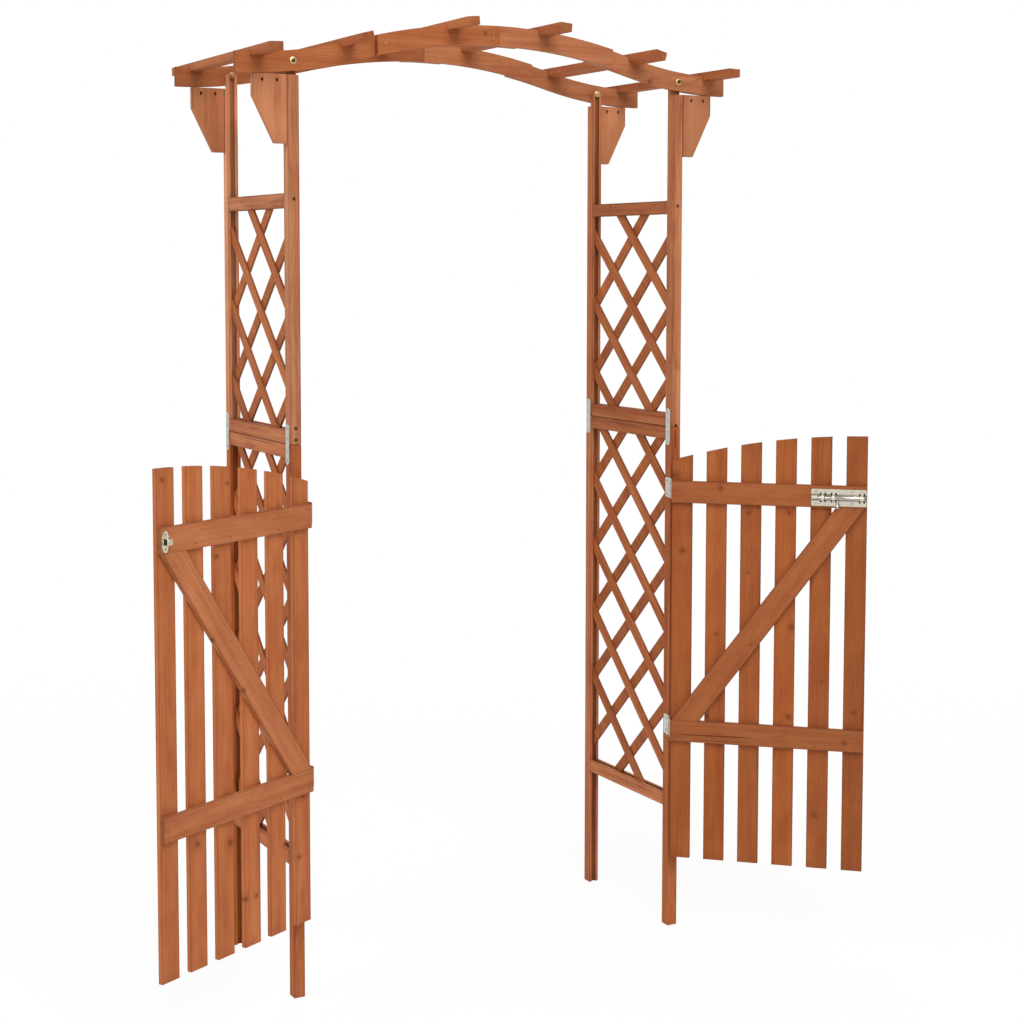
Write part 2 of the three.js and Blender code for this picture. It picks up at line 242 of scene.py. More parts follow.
def stained_fir(name, cuts, warmth=0.0, edge_stain_and_shade=0.3, figure=1.0, knots=(), holes=(), cracks=(), grooves=(),
                islands=0.0, end_grain=0.2):
    """Stained softwood: tone bands, growth rings round an offset heart, fibre, knots and cracks.

    The first cut is the whole piece, and each later one a board that starts past a plane. Knots,
    holes and cracks are places in the arch with their sizes, on the first board. Holes, cracks and
    grooves are painted dark as the shade inside them. The edge share darkens the arrises with stain
    and painted shade, figure strengthens the grain, and islands tells loose strips of one piece
    apart and moves the painted shade onto their narrow sides.
    """
    finish = Finish(name)
    draw = random.Random(name)
    place = finish.node("ShaderNodeTexCoord", output="Object")
    facing = finish.node("ShaderNodeTexCoord", output="Normal")
    levels = []
    for number, cut in enumerate(cuts):
        near = finish.vector("SUBTRACT", place, cut.middle)
        grain, width, depth = (finish.part_of(near, way) for way in (cut.along, cut.across, cut.through))
        sawn = abs(finish.part_of(facing, cut.along))
        sides = finish.fade(abs(width), cut.half[1] - arris_reach, cut.half[1])
        arris = sides * finish.fade(abs(depth), cut.half[2] - arris_reach, cut.half[2])
        near_end = finish.fade(abs(grain), cut.half[0] - end_soak, cut.half[0])
        # On loose strips the narrow sides, picked by their facing, get painted shade instead of the
        # arrises.
        if islands:
            arris = finish.fade(abs(finish.part_of(facing, cut.through)), 0.5, 0.9)
        here = [grain + draw.uniform(0, log_length), width, depth, sawn, arris, near_end, cut.tone]
        if number == 0:
            levels = here
        else:
            beyond = finish.part_of(place, cut.past[0]) > cut.past[1]
            levels = [first + (second - first) * beyond for first, second in zip(levels, here)]
    grain, width, depth, sawn, arris, near_end, tone = levels
    if islands:
        luck = finish.node("ShaderNodeNewGeometry", output="Random Per Island")
        grain = grain + luck * island_shift
        tone = (luck - 0.5) * islands + tone
        near_end = 0.0

    runs = finish.node("ShaderNodeCombineXYZ", {}, {0: grain, 1: width, 2: depth})
    bands = finish.noise(runs, band_waves, 1.0)
    clouds = finish.noise(runs, cloud_waves, 2.0)
    streaks = finish.noise(runs, streak_waves, 2.0)
    fibre = finish.noise(runs, fibre_waves, 2.0, 0.6)
    wander = finish.noise(runs, wander_waves, 1.0)
    dashes = finish.fade(finish.noise(runs, dash_waves, 0.0), 0.24, 0.34)

    heart_aside = draw.uniform(-heart_aside_most, heart_aside_most)
    heart_below = draw.choice((-1, 1)) * draw.uniform(*heart_depths)
    aside = width + wander * 0.05 + heart_aside
    below = depth + wander * 0.03 + heart_below
    rings = (((aside * aside + below * below) ** 0.5) / ring_gap).fraction() ** 2.5

    knotty = 0.0
    round_knot = 0.0
    main = cuts[0]
    if knots:
        ragged = finish.noise(runs, ragged_waves, 2.0, 0.6)
    for spot, radius in knots:
        away = finish.vector("SUBTRACT", place, spot)
        run = finish.part_of(away, main.along)
        side = finish.part_of(away, main.across) / 1.15
        reach = ((run * run + side * side) ** 0.5) / radius + ragged * 1.6
        knotty = finish.fade(reach, 1.2, 0.4) + knotty
        round_knot = finish.fade(reach, 2.6, 0.8) + round_knot
    sunk = 0.0
    # Holes are painted dark, as the shade inside them.
    for spot, radius in holes:
        away = finish.vector("SUBTRACT", place, spot)
        reach = finish.node("ShaderNodeVectorMath", {"operation": "LENGTH"}, {0: away}, "Value")
        sunk = finish.fade(reach, radius * 1.2, radius * 0.9) + sunk
    split = 0.0
    # Cracks are painted as dark lines, the shade inside them, with a little relief.
    for spot, length, opening in cracks:
        away = finish.vector("SUBTRACT", place, spot)
        run = abs(finish.part_of(away, main.along))
        side = finish.part_of(away, main.across) + wander * 0.012 + streaks * opening
        taper = finish.fade(run, length / 2, length / 5, 0.05, 1.0) * opening
        open_here = finish.fade(abs(side) / taper, 1.0, 0.5)
        split = open_here * finish.fade(run, length / 2, length * 0.46) + split

    blotches = finish.noise(runs, blotch_waves, 2.0, 0.6)
    lines = bands * 0.5 + streaks * 0.42 - rings * 0.11
    groove_shadow = 0.0
    from_middle = finish.vector("SUBTRACT", place, main.middle)
    # Painted shade in the grooves: their walls and floor are darkened where shade falls.
    for way, face in grooves:
        out = finish.part_of(from_middle, way)
        aside = abs(finish.part_of(from_middle, ACROSS))
        inside = finish.fade(out, face - groove_lip[0], face - groove_lip[1])
        inside = inside * (out > face - groove_depth - 0.001)
        groove_shadow = inside * finish.fade(aside, groove_width * 0.54, groove_width * 0.49) + groove_shadow
    light = lines * figure + clouds * 0.4 + blotches * 0.3 + fibre * 0.2 + middle_light
    warmth = warmth + draw.uniform(-0.04, 0.04)
    wood = finish.ramp(light, [(position, colour(code, warmth)) for position, code in STAINS])
    # The arrises are darkened by stain and painted shade, and the grooves, holes and cracks by painted
    # shade.
    shade = (1 - finish.fade(sawn, 0.8, 0.98) * end_grain) * (1 - dashes * dash_shade) * tone
    shade = shade * (1 - arris * edge_stain_and_shade) * (1 - near_end * soak_shade) * (1 - round_knot * halo_shade)
    shade = shade * (1 - split * split_shade) * (1 - sunk * sunk_shade) * (1 - groove_shadow * groove_shade)
    wood = finish.scaled(wood, shade)
    if knots:
        wood = finish.mixed(knotty * knot_cover, wood, colour(knot_stain))
    relief = fibre * 0.6 - rings * 0.35 - dashes * 0.5 - split * 2.5 - sunk * 2.0
    bump = finish.node("ShaderNodeBump", {}, {"Strength": 0.6, "Distance": relief_depth, "Height": relief})
    roughness = fibre * 0.3 + wood_roughness
    finish.show(Base_Color=wood, Roughness=roughness, Normal=bump, Specular_IOR_Level=wood_gloss)
    return finish


weld_gap = 0.00002
sharpest_left = math.radians(35)


def soften(piece, width):
    """Rounds the arrises a little, as sandpaper does."""
    rounding = piece.modifiers.new("Rounded_arrises", "BEVEL")
    rounding.width = width
    rounding.segments = 2
    rounding.limit_method = "ANGLE"
    rounding.angle_limit = sharpest_left


def dress(node, finish, softness):
    """Gives a node of the frame its finish and its rounded arrises."""
    piece = frame["nodes"][node]
    if not piece.material_slots:
        piece.data.materials.append(None)
    piece.material_slots[0].material = finish.material
    welded = piece.modifiers.new("Joined_corners", "WELD")
    welded.merge_threshold = weld_gap
    soften(piece, softness)


def make_piece(name, shape, finish, body, softness=0.0, stands_for=()):
    """Turns a worked shape into a named piece that rides on its body."""
    bmesh.ops.recalc_face_normals(shape, faces=shape.faces)
    mesh = bpy.data.meshes.new(name)
    shape.to_mesh(mesh)
    shape.free()
    mesh.materials.append(finish.material)
    piece = bpy.data.objects.new(name, mesh)
    bpy.context.scene.collection.objects.link(piece)
    if softness:
        soften(piece, softness)
    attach(piece, body)
    if stands_for:
        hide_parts(*stands_for)
    return piece


def lay(shape, matrix, into):
    """Moves a worked shape to its place and adds it to another."""
    bmesh.ops.transform(shape, matrix=matrix, verts=shape.verts)
    placed = bpy.data.meshes.new("placed")
    shape.to_mesh(placed)
    shape.free()
    into.from_mesh(placed)
    bpy.data.meshes.remove(placed)


def on_surface(place, outward, spin=0.0):
    """Stands a shape that was made on the floor on a surface that faces outward."""
    turn = outward.to_track_quat("Z", "Y").to_matrix().to_4x4()
    return Matrix.Translation(place) @ turn @ Matrix.Rotation(spin, 4, "Z")


round_steps = 24


def ring_of(shape, radius, height, steps=round_steps):
    """A level ring of corners."""
    angles = [2 * math.pi * (i + 0.5) / steps for i in range(steps)]
    return [shape.verts.new((radius * math.cos(a), radius * math.sin(a), height)) for a in angles]


def skin(shape, lower, upper):
    """Joins two rings of corners with faces."""
    count = len(lower)
    return [shape.faces.new((lower[i], lower[(i + 1) % count], upper[(i + 1) % count], upper[i]))
            for i in range(count)]


def turned(profile, steps=round_steps):
    """A closed round shape from (radius, height) points, turned about the upright axis."""
    shape = bmesh.new()
    rings = [ring_of(shape, radius, height, steps) for radius, height in profile]
    for lower, upper in zip(rings, rings[1:]):
        for face in skin(shape, lower, upper):
            face.smooth = steps == round_steps
    shape.faces.new(rings[0])
    shape.faces.new(rings[-1])
    return shape


head_rise = 0.0005
rim_share = 0.86
slot_share = 0.62
waist_share = 0.24
taper_share = 0.55
slot_lean = 0.2


def screw_head(radius):
    """A countersunk head with a tapered cross pressed into it."""
    head = bmesh.new()
    foot = ring_of(head, radius, -head_rise)
    rim = ring_of(head, rim_share * radius, head_rise)
    skin(head, foot, rim)
    head.faces.new(foot)
    cross = []
    floor = []
    for quarter in range(4):
        for reach, lean in ((slot_share, -slot_lean), (slot_share, slot_lean),
                            (waist_share, math.pi / 4)):
            angle = quarter * math.pi / 2 + lean
            x = reach * radius * math.cos(angle)
            y = reach * radius * math.sin(angle)
            cross.append(head.verts.new((x, y, head_rise)))
            sunk = (taper_share * x, taper_share * y, head_rise - taper_share * radius)
            floor.append(head.verts.new(sunk))
    skin(head, cross, floor)
    head.faces.new(floor)
    edges = [head.edges.get((ring[i - 1], ring[i])) for ring in (rim, cross) for i in range(len(ring))]
    bmesh.ops.triangle_fill(head, use_beauty=True, edges=edges)
    return head


plating_waves = (85.0, 85.0, 85.0)
grit_waves = (900.0, 900.0, 900.0)
spangle_cells = 380.0
# The darkest plating colour, for its dull clouds and for the painted shade in recesses.
dirt_and_shade = "14110e"
glint = "ffffff"
recess_shade_light = 0.03
bar_shadow_share = 0.5
plating_relief = 0.0002


def plated_steel(name, code, roughness, clouding=0.12, recess=None, bar_shadow=None):
    """Zinc-plated steel: cloudy plating, faint spangle, painted shade below its face and a painted shadow
    along a bar.
    """
    finish = Finish(name)
    draw = random.Random(name)
    place = finish.node("ShaderNodeTexCoord", output="Object")
    shifted = finish.vector("ADD", place, (draw.random(), draw.random(), draw.random()))
    clouds = finish.noise(shifted, plating_waves, 3.0, 0.55)
    grit = finish.noise(shifted, grit_waves, 1.0)
    spangle = finish.node("ShaderNodeTexVoronoi", {}, {"Vector": shifted, "Scale": spangle_cells}, "Color")
    spangle = finish.node("ShaderNodeSeparateColor", {}, {0: spangle}) - 0.5
    bright = 1 - clouds * clouding * 3 - spangle * clouding * 0.6 + grit * clouding
    # Below the face, in openings, slits and slots, the plating is painted near black as the shade in them.
    if recess:
        direction, face = recess
        depth = finish.part_of(place, direction)
        bright = bright * finish.fade(depth, face - 0.0006, face - 0.0002, recess_shade_light, 1.0)
    # The bar's shadow on the plate is painted as a darker band along it.
    if bar_shadow:
        level, reach, top = bar_shadow
        beside = abs(finish.part_of(place, UP) - level) + clouds * 0.001
        under = finish.fade(depth, top, top - 0.0004)
        bright = bright * (1 - finish.fade(beside, reach, reach * 0.8) * under * bar_shadow_share)
    tones = [(0.0, colour(dirt_and_shade)), (0.5, colour(code)), (1.0, colour(glint))]
    plating = finish.ramp(bright * 0.5, tones)
    relief = {"Strength": 0.35, "Distance": plating_relief, "Height": clouds + grit}
    bump = finish.node("ShaderNodeBump", {}, relief)
    finish.show(Base_Color=plating, Roughness=clouds * 0.3 + roughness, Normal=bump, Metallic=1.0)
    return finish


screw_steel = plated_steel("zinc_screws", "b5b0a4", 0.36)
dull_steel = plated_steel("dull_screws", "5a3424", 0.5)


def add_screws(name, places, outward, radius, finish, body):
    """A group of like screws, each with its cross turned its own way."""
    draw = random.Random(name)
    group = bmesh.new()
    for place in places:
        lay(screw_head(radius), on_surface(place, outward, draw.uniform(0, math.pi)), group)
    return make_piece(name, group, finish, body)


post_arris = 0.0018
# Stain and painted shade along the posts' arrises.
post_edge_stain_and_shade = 0.4
post_figure = 1.6
post_screw_radius = 0.0030
post_hole_shade_radius = post_screw_radius * 1.15
post_screw_heights = {"left": (0.296, 1.1765, 1.2003, 1.6690), "right": (0.296, 1.1698, 1.6690)}
# Tone and warmth of each length. Besides the wood's own tone they hold painted shade and light: the lower
# front lengths and the lower back left one are made warmer, as shade behind the gate leaves, and the upper
# back left one is made lighter against the front post's shadow.
post_tone_and_shade = {
    "left_front_lower": 0.96, "left_front_upper": 1.01,
    "left_back_lower": 1.06, "left_back_upper": 1.45,
    "right_front_lower": 1.04, "right_front_upper": 1.10,
    "right_back_lower": 1.24, "right_back_upper": 1.18,
}
post_warmth_and_shade = {
    "left_front_lower": 0.32, "left_front_upper": -0.29,
    "left_back_lower": 0.66, "left_back_upper": -0.36,
    "right_front_lower": 0.32, "right_front_upper": -0.20,
    "right_back_lower": -0.05, "right_back_upper": -0.01,
}
# Each crack has its height on the post, its length and its width.
post_cracks = {"right_front_lower": ((1.138, 0.060, 0.0022), (0.190, 0.050, 0.0012))}
for side in SIDES:
    for end in ENDS:
        outward = -BACKWARD if end == "front" else BACKWARD
        screws = []
        for part in ("lower", "upper"):
            node = f"post_{side}_{end}_{part}"
            low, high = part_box(node)
            x = (low.x + high.x) / 2
            y = low.y if end == "front" else high.y
            here = [Vector((x, y, z)) for z in post_screw_heights[side] if low.z < z < high.z]
            # A dark ring painted round each screw stands for the shade of its sunk hole.
            holes = [(place, post_hole_shade_radius) for place in here]
            screws += here
            length = f"{side}_{end}_{part}"
            cracks = [(Vector((x, y, z)), reach, opening)
                      for z, reach, opening in post_cracks.get(length, ())]
            cut = Cut(low, high, UP, ACROSS, post_tone_and_shade[length])
            grooves = [(-outward, (high.y - low.y) / 2)]
            finish = stained_fir(f"stain_{node}", [cut], post_warmth_and_shade[length], post_edge_stain_and_shade, post_figure,
                                 holes=holes, cracks=cracks, grooves=grooves)
            dress(node, finish, post_arris)
        name = f"post_screws_{side}_{end}"
        add_screws(name, screws, outward, post_screw_radius, dull_steel, "arch")

near_low, near_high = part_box("post_left_front_lower")
far_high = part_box("post_right_back_lower")[1]
middle = Vector(((near_low.x + far_high.x) / 2, (near_low.y + far_high.y) / 2, 0))
half_width = (far_high.x - near_low.x) / 2
half_depth = (far_high.y - near_low.y) / 2
post_width = near_high.x - near_low.x
post_depth = near_high.y - near_low.y
joint_height = near_high.z


# Panel rails. The same grooved batten laid level between the posts, four to a side panel. The two
# middle ones lie one on the other where the upper and the lower panel meet.

rail_tones = {
    "left_top": 1.18, "left_mid_upper": 1.03, "left_mid_lower": 1.16, "left_bottom": 1.02,
    "right_top": 1.02, "right_mid_upper": 1.0, "right_mid_lower": 0.94, "right_bottom": 1.30,
}
rail_warmth = {
    "left_top": -0.32, "left_mid_upper": 0.08, "left_mid_lower": 0.06, "left_bottom": 0.30,
    "right_top": 0.02, "right_mid_upper": 0.11, "right_mid_lower": 0.14, "right_bottom": 0.0,
}
# Stain and painted shade along the rails' arrises.
rail_edge_stain_and_shade = 0.5
rail_figure = 1.7
# Each knot has its place back from and up from the rail's middle, and its radius. Each crack has the
# same two places, its length and its width.
rail_knots = {"right_top": ((0.08, 0.006, 0.0035), (0.062, 0.004, 0.0025))}
rail_cracks = {
    "right_bottom": ((-0.02, 0.0045, 0.26, 0.0011), (0.03, -0.0010, 0.20, 0.0008)),
    "right_mid_lower": ((0.02, 0.0075, 0.22, 0.0010),),
    "left_mid_lower": ((-0.01, 0.0080, 0.24, 0.0010),),
}
rail_arris = 0.0015
for side in SIDES:
    for level in ("top", "mid_upper", "mid_lower", "bottom"):
        batten = f"{side}_{level}"
        node = f"rail_{batten}"
        low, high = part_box(node)
        near_middle = Vector((low.x, (low.y + high.y) / 2, (low.z + high.z) / 2))
        knots = [(near_middle + Vector((0, y, z)), radius) for y, z, radius in rail_knots.get(batten, ())]
        cracks = [(near_middle + Vector((0, y, z)), reach, opening)
                  for y, z, reach, opening in rail_cracks.get(batten, ())]
        way = UP if level in ("mid_upper", "bottom") else -UP
        cut = Cut(low, high, BACKWARD, UP, rail_tones[batten])
        grooves = [(way, (high.z - low.z) / 2)]
        finish = stained_fir(f"stain_{node}", [cut], rail_warmth[batten], rail_edge_stain_and_shade, rail_figure, knots,
                             cracks=cracks, grooves=grooves)
        dress(node, finish, rail_arris)


# Lattice. Thin sawn strips in two layers that lean opposite ways, let into the grooves of the
# posts and rails and pinned where they cross.

strip_width = 0.025
strip_arris = 0.0006
strip_pitch_across = 0.168
strip_pitch_up = 0.163
shortest_strip = 0.090
crossing_heights = {"upper": 1.442, "lower": 0.689}
lattice_warmth = {"upper": 0.22, "lower": 0.36}
# Painted shade on the strips' narrow sides.
lattice_edge_shade = 0.3
lattice_figure = 1.3
strip_luck = 0.2
# The far layer of strips is painted darker, as shade behind the near layer.
far_layer_shade = 0.93
strip_lean = math.atan2(strip_pitch_up, strip_pitch_across)


def add_strip(panel, x, thickness, height, lean, low, high):
    """Saws one strip to the panel's edges and lays it in."""
    strip = bmesh.new()
    centre = Matrix.Translation((x, (low.y + high.y) / 2, height))
    size = Matrix.Diagonal((thickness, 2 * (high.y - low.y), strip_width, 1))
    bmesh.ops.create_cube(strip, size=1, matrix=centre @ Matrix.Rotation(lean, 4, "X") @ size)
    for corner, normal in ((low, -BACKWARD), (low, -UP), (high, BACKWARD), (high, UP)):
        everything = strip.verts[:] + strip.edges[:] + strip.faces[:]
        bmesh.ops.bisect_plane(strip, geom=everything, plane_co=corner, plane_no=normal, clear_outer=True)
        bmesh.ops.holes_fill(strip, edges=[edge for edge in strip.edges if edge.is_boundary])
    heights = [corner.co.z for corner in strip.verts]
    if heights and max(heights) - min(heights) > shortest_strip:
        lay(strip, Matrix.Identity(4), panel)
    else:
        strip.free()


for side in SIDES:
    for level, crossing in crossing_heights.items():
        node = f"lattice_{side}_{level}"
        low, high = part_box(node)
        centre = (low.x + high.x) / 2
        layer = (high.x - low.x) / 2
        panel = bmesh.new()
        below = math.floor((low.z - crossing) / strip_pitch_up) - 1
        above = math.ceil((high.z - crossing) / strip_pitch_up) + 1
        for row in range(below, above + 1):
            height = crossing + row * strip_pitch_up
            add_strip(panel, centre - layer / 2, layer, height, strip_lean, low, high)
            add_strip(panel, centre + layer / 2, layer, height, -strip_lean, low, high)
        rising = Vector((0, math.cos(strip_lean), math.sin(strip_lean)))
        falling = Vector((0, math.cos(strip_lean), -math.sin(strip_lean)))
        cuts = [Cut(low, high, rising, ACROSS, 1.0),
                Cut(low, high, falling, ACROSS, far_layer_shade, (ACROSS, centre))]
        finish = stained_fir(f"stain_{node}", cuts, lattice_warmth[level], lattice_edge_shade, lattice_figure,
                             islands=strip_luck)
        make_piece(f"{node}_strips", panel, finish, "arch", strip_arris, (node,))


# Mending plates. Zinc-plated flat plates with half-round ends, screwed over the joint in each post
# on the side that faces left.

plate_length = 0.085
plate_width = 0.0175
plate_thickness = 0.0016
plate_screw_places = (-0.033, -0.013, 0.013, 0.033)
plate_screw_radius = 0.0034
plate_arris = 0.0004
plate_end_flat = 0.0001


def flat_shape(outline, thickness, pockets=(), depth=0.001, slant=(0, 0), closing=0.9):
    """A flat board or plate with an outline and with pockets sunk in its upper face.

    The pockets are outlines too. Each narrows to its floor, which is moved by the slant.
    """
    shape = bmesh.new()
    front = [shape.verts.new((x, y, thickness)) for x, y in outline]
    back = [shape.verts.new((x, y, 0)) for x, y in outline]
    skin(shape, back, front)
    shape.faces.new(back)
    rims = [front]
    for pocket in pockets:
        rim = [shape.verts.new((x, y, thickness)) for x, y in pocket]
        x0 = sum(x for x, y in pocket) / len(pocket)
        y0 = sum(y for x, y in pocket) / len(pocket)
        floor = [shape.verts.new((x0 + closing * (x - x0) + slant[0],
                                  y0 + closing * (y - y0) + slant[1], thickness - depth))
                 for x, y in pocket]
        skin(shape, rim, floor)
        shape.faces.new(floor)
        rims.append(rim)
    edges = [shape.edges.get((rim[i - 1], rim[i])) for rim in rims for i in range(len(rim))]
    bmesh.ops.triangle_fill(shape, use_beauty=True, edges=edges)
    return shape


def oval(x, y, half_x, half_y, steps=12):
    """The outline of an upright or level oval."""
    angles = [2 * math.pi * i / steps for i in range(steps)]
    return [(x + half_x * math.cos(a), y + half_y * math.sin(a)) for a in angles]


def rounded_box(x0, y0, x1, y1, radius, steps=5):
    """A rectangle's outline with rounded corners."""
    outline = []
    corners = ((x1, y1, 0), (x0, y1, 1), (x0, y0, 2), (x1, y0, 3))
    for x, y, quarter in corners:
        centre_x = min(max(x, x0 + radius), x1 - radius)
        centre_y = min(max(y, y0 + radius), y1 - radius)
        for i in range(steps + 1):
            angle = (quarter + i / steps) * math.pi / 2
            outline.append((centre_x + radius * math.cos(angle), centre_y + radius * math.sin(angle)))
    return outline


plate_steel = plated_steel("zinc_mending_plates", "cfcdc6", 0.34)
for side in SIDES:
    for end in ENDS:
        low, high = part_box(f"post_{side}_{end}_lower")
        place = Vector((low.x, (low.y + high.y) / 2, joint_height))
        outline = rounded_box(-plate_length / 2, -plate_width / 2, plate_length / 2, plate_width / 2,
                              plate_width / 2 - plate_end_flat, 8)
        upright = Matrix(((0, 0, -1, place.x), (0, -1, 0, place.y),
                          (-1, 0, 0, place.z), (0, 0, 0, 1)))
        plate = bmesh.new()
        lay(flat_shape(outline, plate_thickness), upright, plate)
        make_piece(f"mending_plate_{side}_{end}", plate, plate_steel, "arch", plate_arris)
        heads = [place + UP * offset - ACROSS * plate_thickness for offset in plate_screw_places]
        name = f"mending_screws_{side}_{end}"
        add_screws(name, heads, -ACROSS, plate_screw_radius, screw_steel, "arch")


# Roof beams. Each is sawn from four boards: two outer ones over the posts and two centre ones that
# meet at the crown, lapped in front of them and screwed, with a short splice behind the crown.

beam_thickness = 0.014
beam_arris = 0.0013
splice_reach = 0.055
lap_screw_x = 0.266
lap_screw_z = 1.9929
crown_screw_x = 0.014
crown_screw_z = 2.0185
beam_screw_radius = 0.0024
board_tones = {"outer": 0.95, "splice": 0.9, "centre": 1.02}
# Each knot has its place across from the middle, its height and its radius.
beam_knots = {"front_right": ((0.388, 1.9449, 0.0058),), "front_left": ((-0.034, 2.0261, 0.0035),)}
# Tone and warmth of each half beam.
beam_stains = {
    "front_left": (0.94, 0.31), "front_right": (1.01, -0.10),
    "back_left": (0.81, 0.26), "back_right": (1.0, -0.07),
}
outer_faces = {"front": middle.y - half_depth, "back": middle.y + half_depth - beam_thickness}
for end, outer_face in outer_faces.items():
    for side in SIDES:
        node = f"beam_{end}_{side}"
        low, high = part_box(node)
        tone, warmth = beam_stains[f"{end}_{side}"]
        outer = Cut(low, high, ACROSS, UP, board_tones["outer"] * tone)
        splice_end = (-ACROSS, -middle.x - splice_reach)
        splice = Cut(low, high, ACROSS, UP, board_tones["splice"] * tone, splice_end)
        centre = Cut(low, high, ACROSS, UP, board_tones["centre"] * tone, (-BACKWARD, -outer_face))
        cuts = [outer, splice, centre] if side == "right" else [outer, centre]
        knots = [(Vector((middle.x + x, low.y, z)), radius)
                 for x, z, radius in beam_knots.get(f"{end}_{side}", ())]
        dress(node, stained_fir(f"stain_{node}", cuts, warmth, knots=knots), beam_arris)
    y = outer_face - beam_thickness
    places = [Vector((middle.x + way * x, y, z)) for way in (-1, 1)
              for x, z in ((lap_screw_x, lap_screw_z), (crown_screw_x, crown_screw_z))]
    add_screws(f"beam_screws_{end}", places, -BACKWARD, beam_screw_radius, screw_steel, "arch")


# Roof slats. Six battens let into notches in both beams and leaning with their slope, each held by
# a screw from above at either beam.

slat_thickness = 0.018
slat_screw_radius = 0.0032
slat_warmth = 0.2
slat_arris = 0.0012
slat_tones = (0.95, 1.04, 1.06, 1.0, 1.06, 1.03)
for number, tone in enumerate(slat_tones, 1):
    node = f"slat_{number}"
    low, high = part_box(node)
    cut = Cut(low, high, BACKWARD, ACROSS, tone)
    dress(node, stained_fir(f"stain_{node}", [cut], slat_warmth), slat_arris)
    faces = frame["nodes"][node].data.polygons
    upward = max(faces, key=lambda face: face.normal.z).normal.copy()
    top = (low + high) / 2 + upward * slat_thickness / 2
    reach = half_depth - beam_thickness / 2
    places = [Vector((top.x, middle.y + way * reach, top.z)) for way in (-1, 1)]
    add_screws(f"slat_screws_{number}", places, upward, slat_screw_radius, screw_steel, "arch")


# Gussets. Short boards with one corner sawn off, set under the beam beside each post. Two screws in
# slanted pocket holes hold each of them up against the beam.

gusset_edge = 0.045
gusset_foot = 0.027
pocket_places = (0.022, 0.054)
pocket_drop = 0.0135
pocket_half_width = 0.0021
pocket_half_height = 0.0048
pocket_depth = 0.008
pocket_slant = 0.006
pocket_closing = 0.7
pocket_shadow_place = Vector((0, 0.003, 0.002))
pocket_shadow_radius = 0.0040
gusset_arris = 0.0011
# Stain and painted shade along the gussets' arrises.
gusset_edge_stain_and_shade = 0.5
gusset_figure = 0.6
gusset_tones = {"left_front": 1.19, "left_back": 1.04, "right_front": 1.05, "right_back": 1.30}
gusset_warmth = {"left_front": -0.28, "left_back": -0.12, "right_front": -0.28, "right_back": -0.34}
for end in ENDS:
    for side in SIDES:
        node = f"gusset_{side}_{end}"
        low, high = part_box(node)
        way = 1 if side == "right" else -1
        root = low.x if side == "right" else high.x
        width = high.x - low.x
        height = high.z - low.z
        outline = [(0, 0), (way * gusset_foot, 0), (way * width, height - gusset_edge),
                   (way * width, height), (0, height)]
        pockets = [oval(way * x, height - pocket_drop, pocket_half_width, pocket_half_height)
                   for x in pocket_places]
        standing = Matrix(((1, 0, 0, root), (0, 0, -1, high.y), (0, 1, 0, low.z), (0, 0, 0, 1)))
        gusset = bmesh.new()
        shape = flat_shape(outline, high.y - low.y, pockets, pocket_depth, (0, pocket_slant),
                           pocket_closing)
        lay(shape, standing, gusset)
        face = Vector((0, low.y, high.z - pocket_drop))
        holes = [(face + ACROSS * (root + way * x) + pocket_shadow_place, pocket_shadow_radius)
                 for x in pocket_places]
        cut = Cut(low, high, UP, ACROSS, gusset_tones[f"{side}_{end}"])
        warmth = gusset_warmth[f"{side}_{end}"]
        finish = stained_fir(f"stain_{node}", [cut], warmth, gusset_edge_stain_and_shade, gusset_figure, holes=holes)
        make_piece(f"{node}_board", gusset, finish, "arch", gusset_arris, (node,))


# Carriage bolts. One through the beam and the tongue of each post: a domed head, its steel painted
# dark as the reflection that darkens its middle, on a brass-coloured washer outside, and a nut on a
# washer with the thread's end inside. Each profile is turned, from radii and heights.

bolt_height = 1.9480
bolt_arris = 0.0002
nut_spin = 0.3
head_profile = ((0.0046, 0.0), (0.0046, 0.0019), (0.0041, 0.0028), (0.0032, 0.0034), (0.0018, 0.0038),
                (0.0006, 0.0039))
washer_profile = ((0.0074, 0.0), (0.0074, 0.0010), (0.0069, 0.0013), (0.0030, 0.0013))
nut_profile = ((0.0054, 0.0012), (0.0058, 0.0017), (0.0058, 0.0048), (0.0054, 0.0053))
thread_profile = ((0.0029, 0.0050), (0.0029, 0.0072), (0.0026, 0.0077))
brassy_steel = plated_steel("yellow_zinc", "d8c08a", 0.3)
# Dark steel for the domes, painted dark as the reflection in their middle.
dark_reflection_steel = plated_steel("tarnished_zinc", "5c4526", 0.34)
stained_steel = plated_steel("stained_zinc", "a8714c", 0.5)
for side in SIDES:
    x = middle.x + (half_width - post_width / 2) * (1 if side == "right" else -1)
    for end in ENDS:
        outward = -BACKWARD if end == "front" else BACKWARD
        outer = Vector((x, middle.y, bolt_height)) + outward * half_depth
        inner = outer - outward * post_depth
        bolt = bmesh.new()
        lay(turned(head_profile), on_surface(outer, outward), bolt)
        make_piece(f"carriage_bolt_{side}_{end}", bolt, dark_reflection_steel, "arch", bolt_arris)
        washer = bmesh.new()
        lay(turned(washer_profile), on_surface(outer, outward), washer)
        make_piece(f"carriage_washer_{side}_{end}", washer, brassy_steel, "arch", bolt_arris)
        nut = bmesh.new()
        lay(turned(washer_profile), on_surface(inner, -outward), nut)
        lay(turned(nut_profile, 6), on_surface(inner, -outward, nut_spin), nut)
        lay(turned(thread_profile), on_surface(inner, -outward), nut)
        nut_steel = stained_steel if side == "left" else brassy_steel
        make_piece(f"carriage_nut_{side}_{end}", nut, nut_steel, "arch", bolt_arris)


# Gate leaves. Six pickets with their tops sawn to one sweep, nailed to two rails and a brace cut
# from the same thin planed board. The nails are driven just below the face.

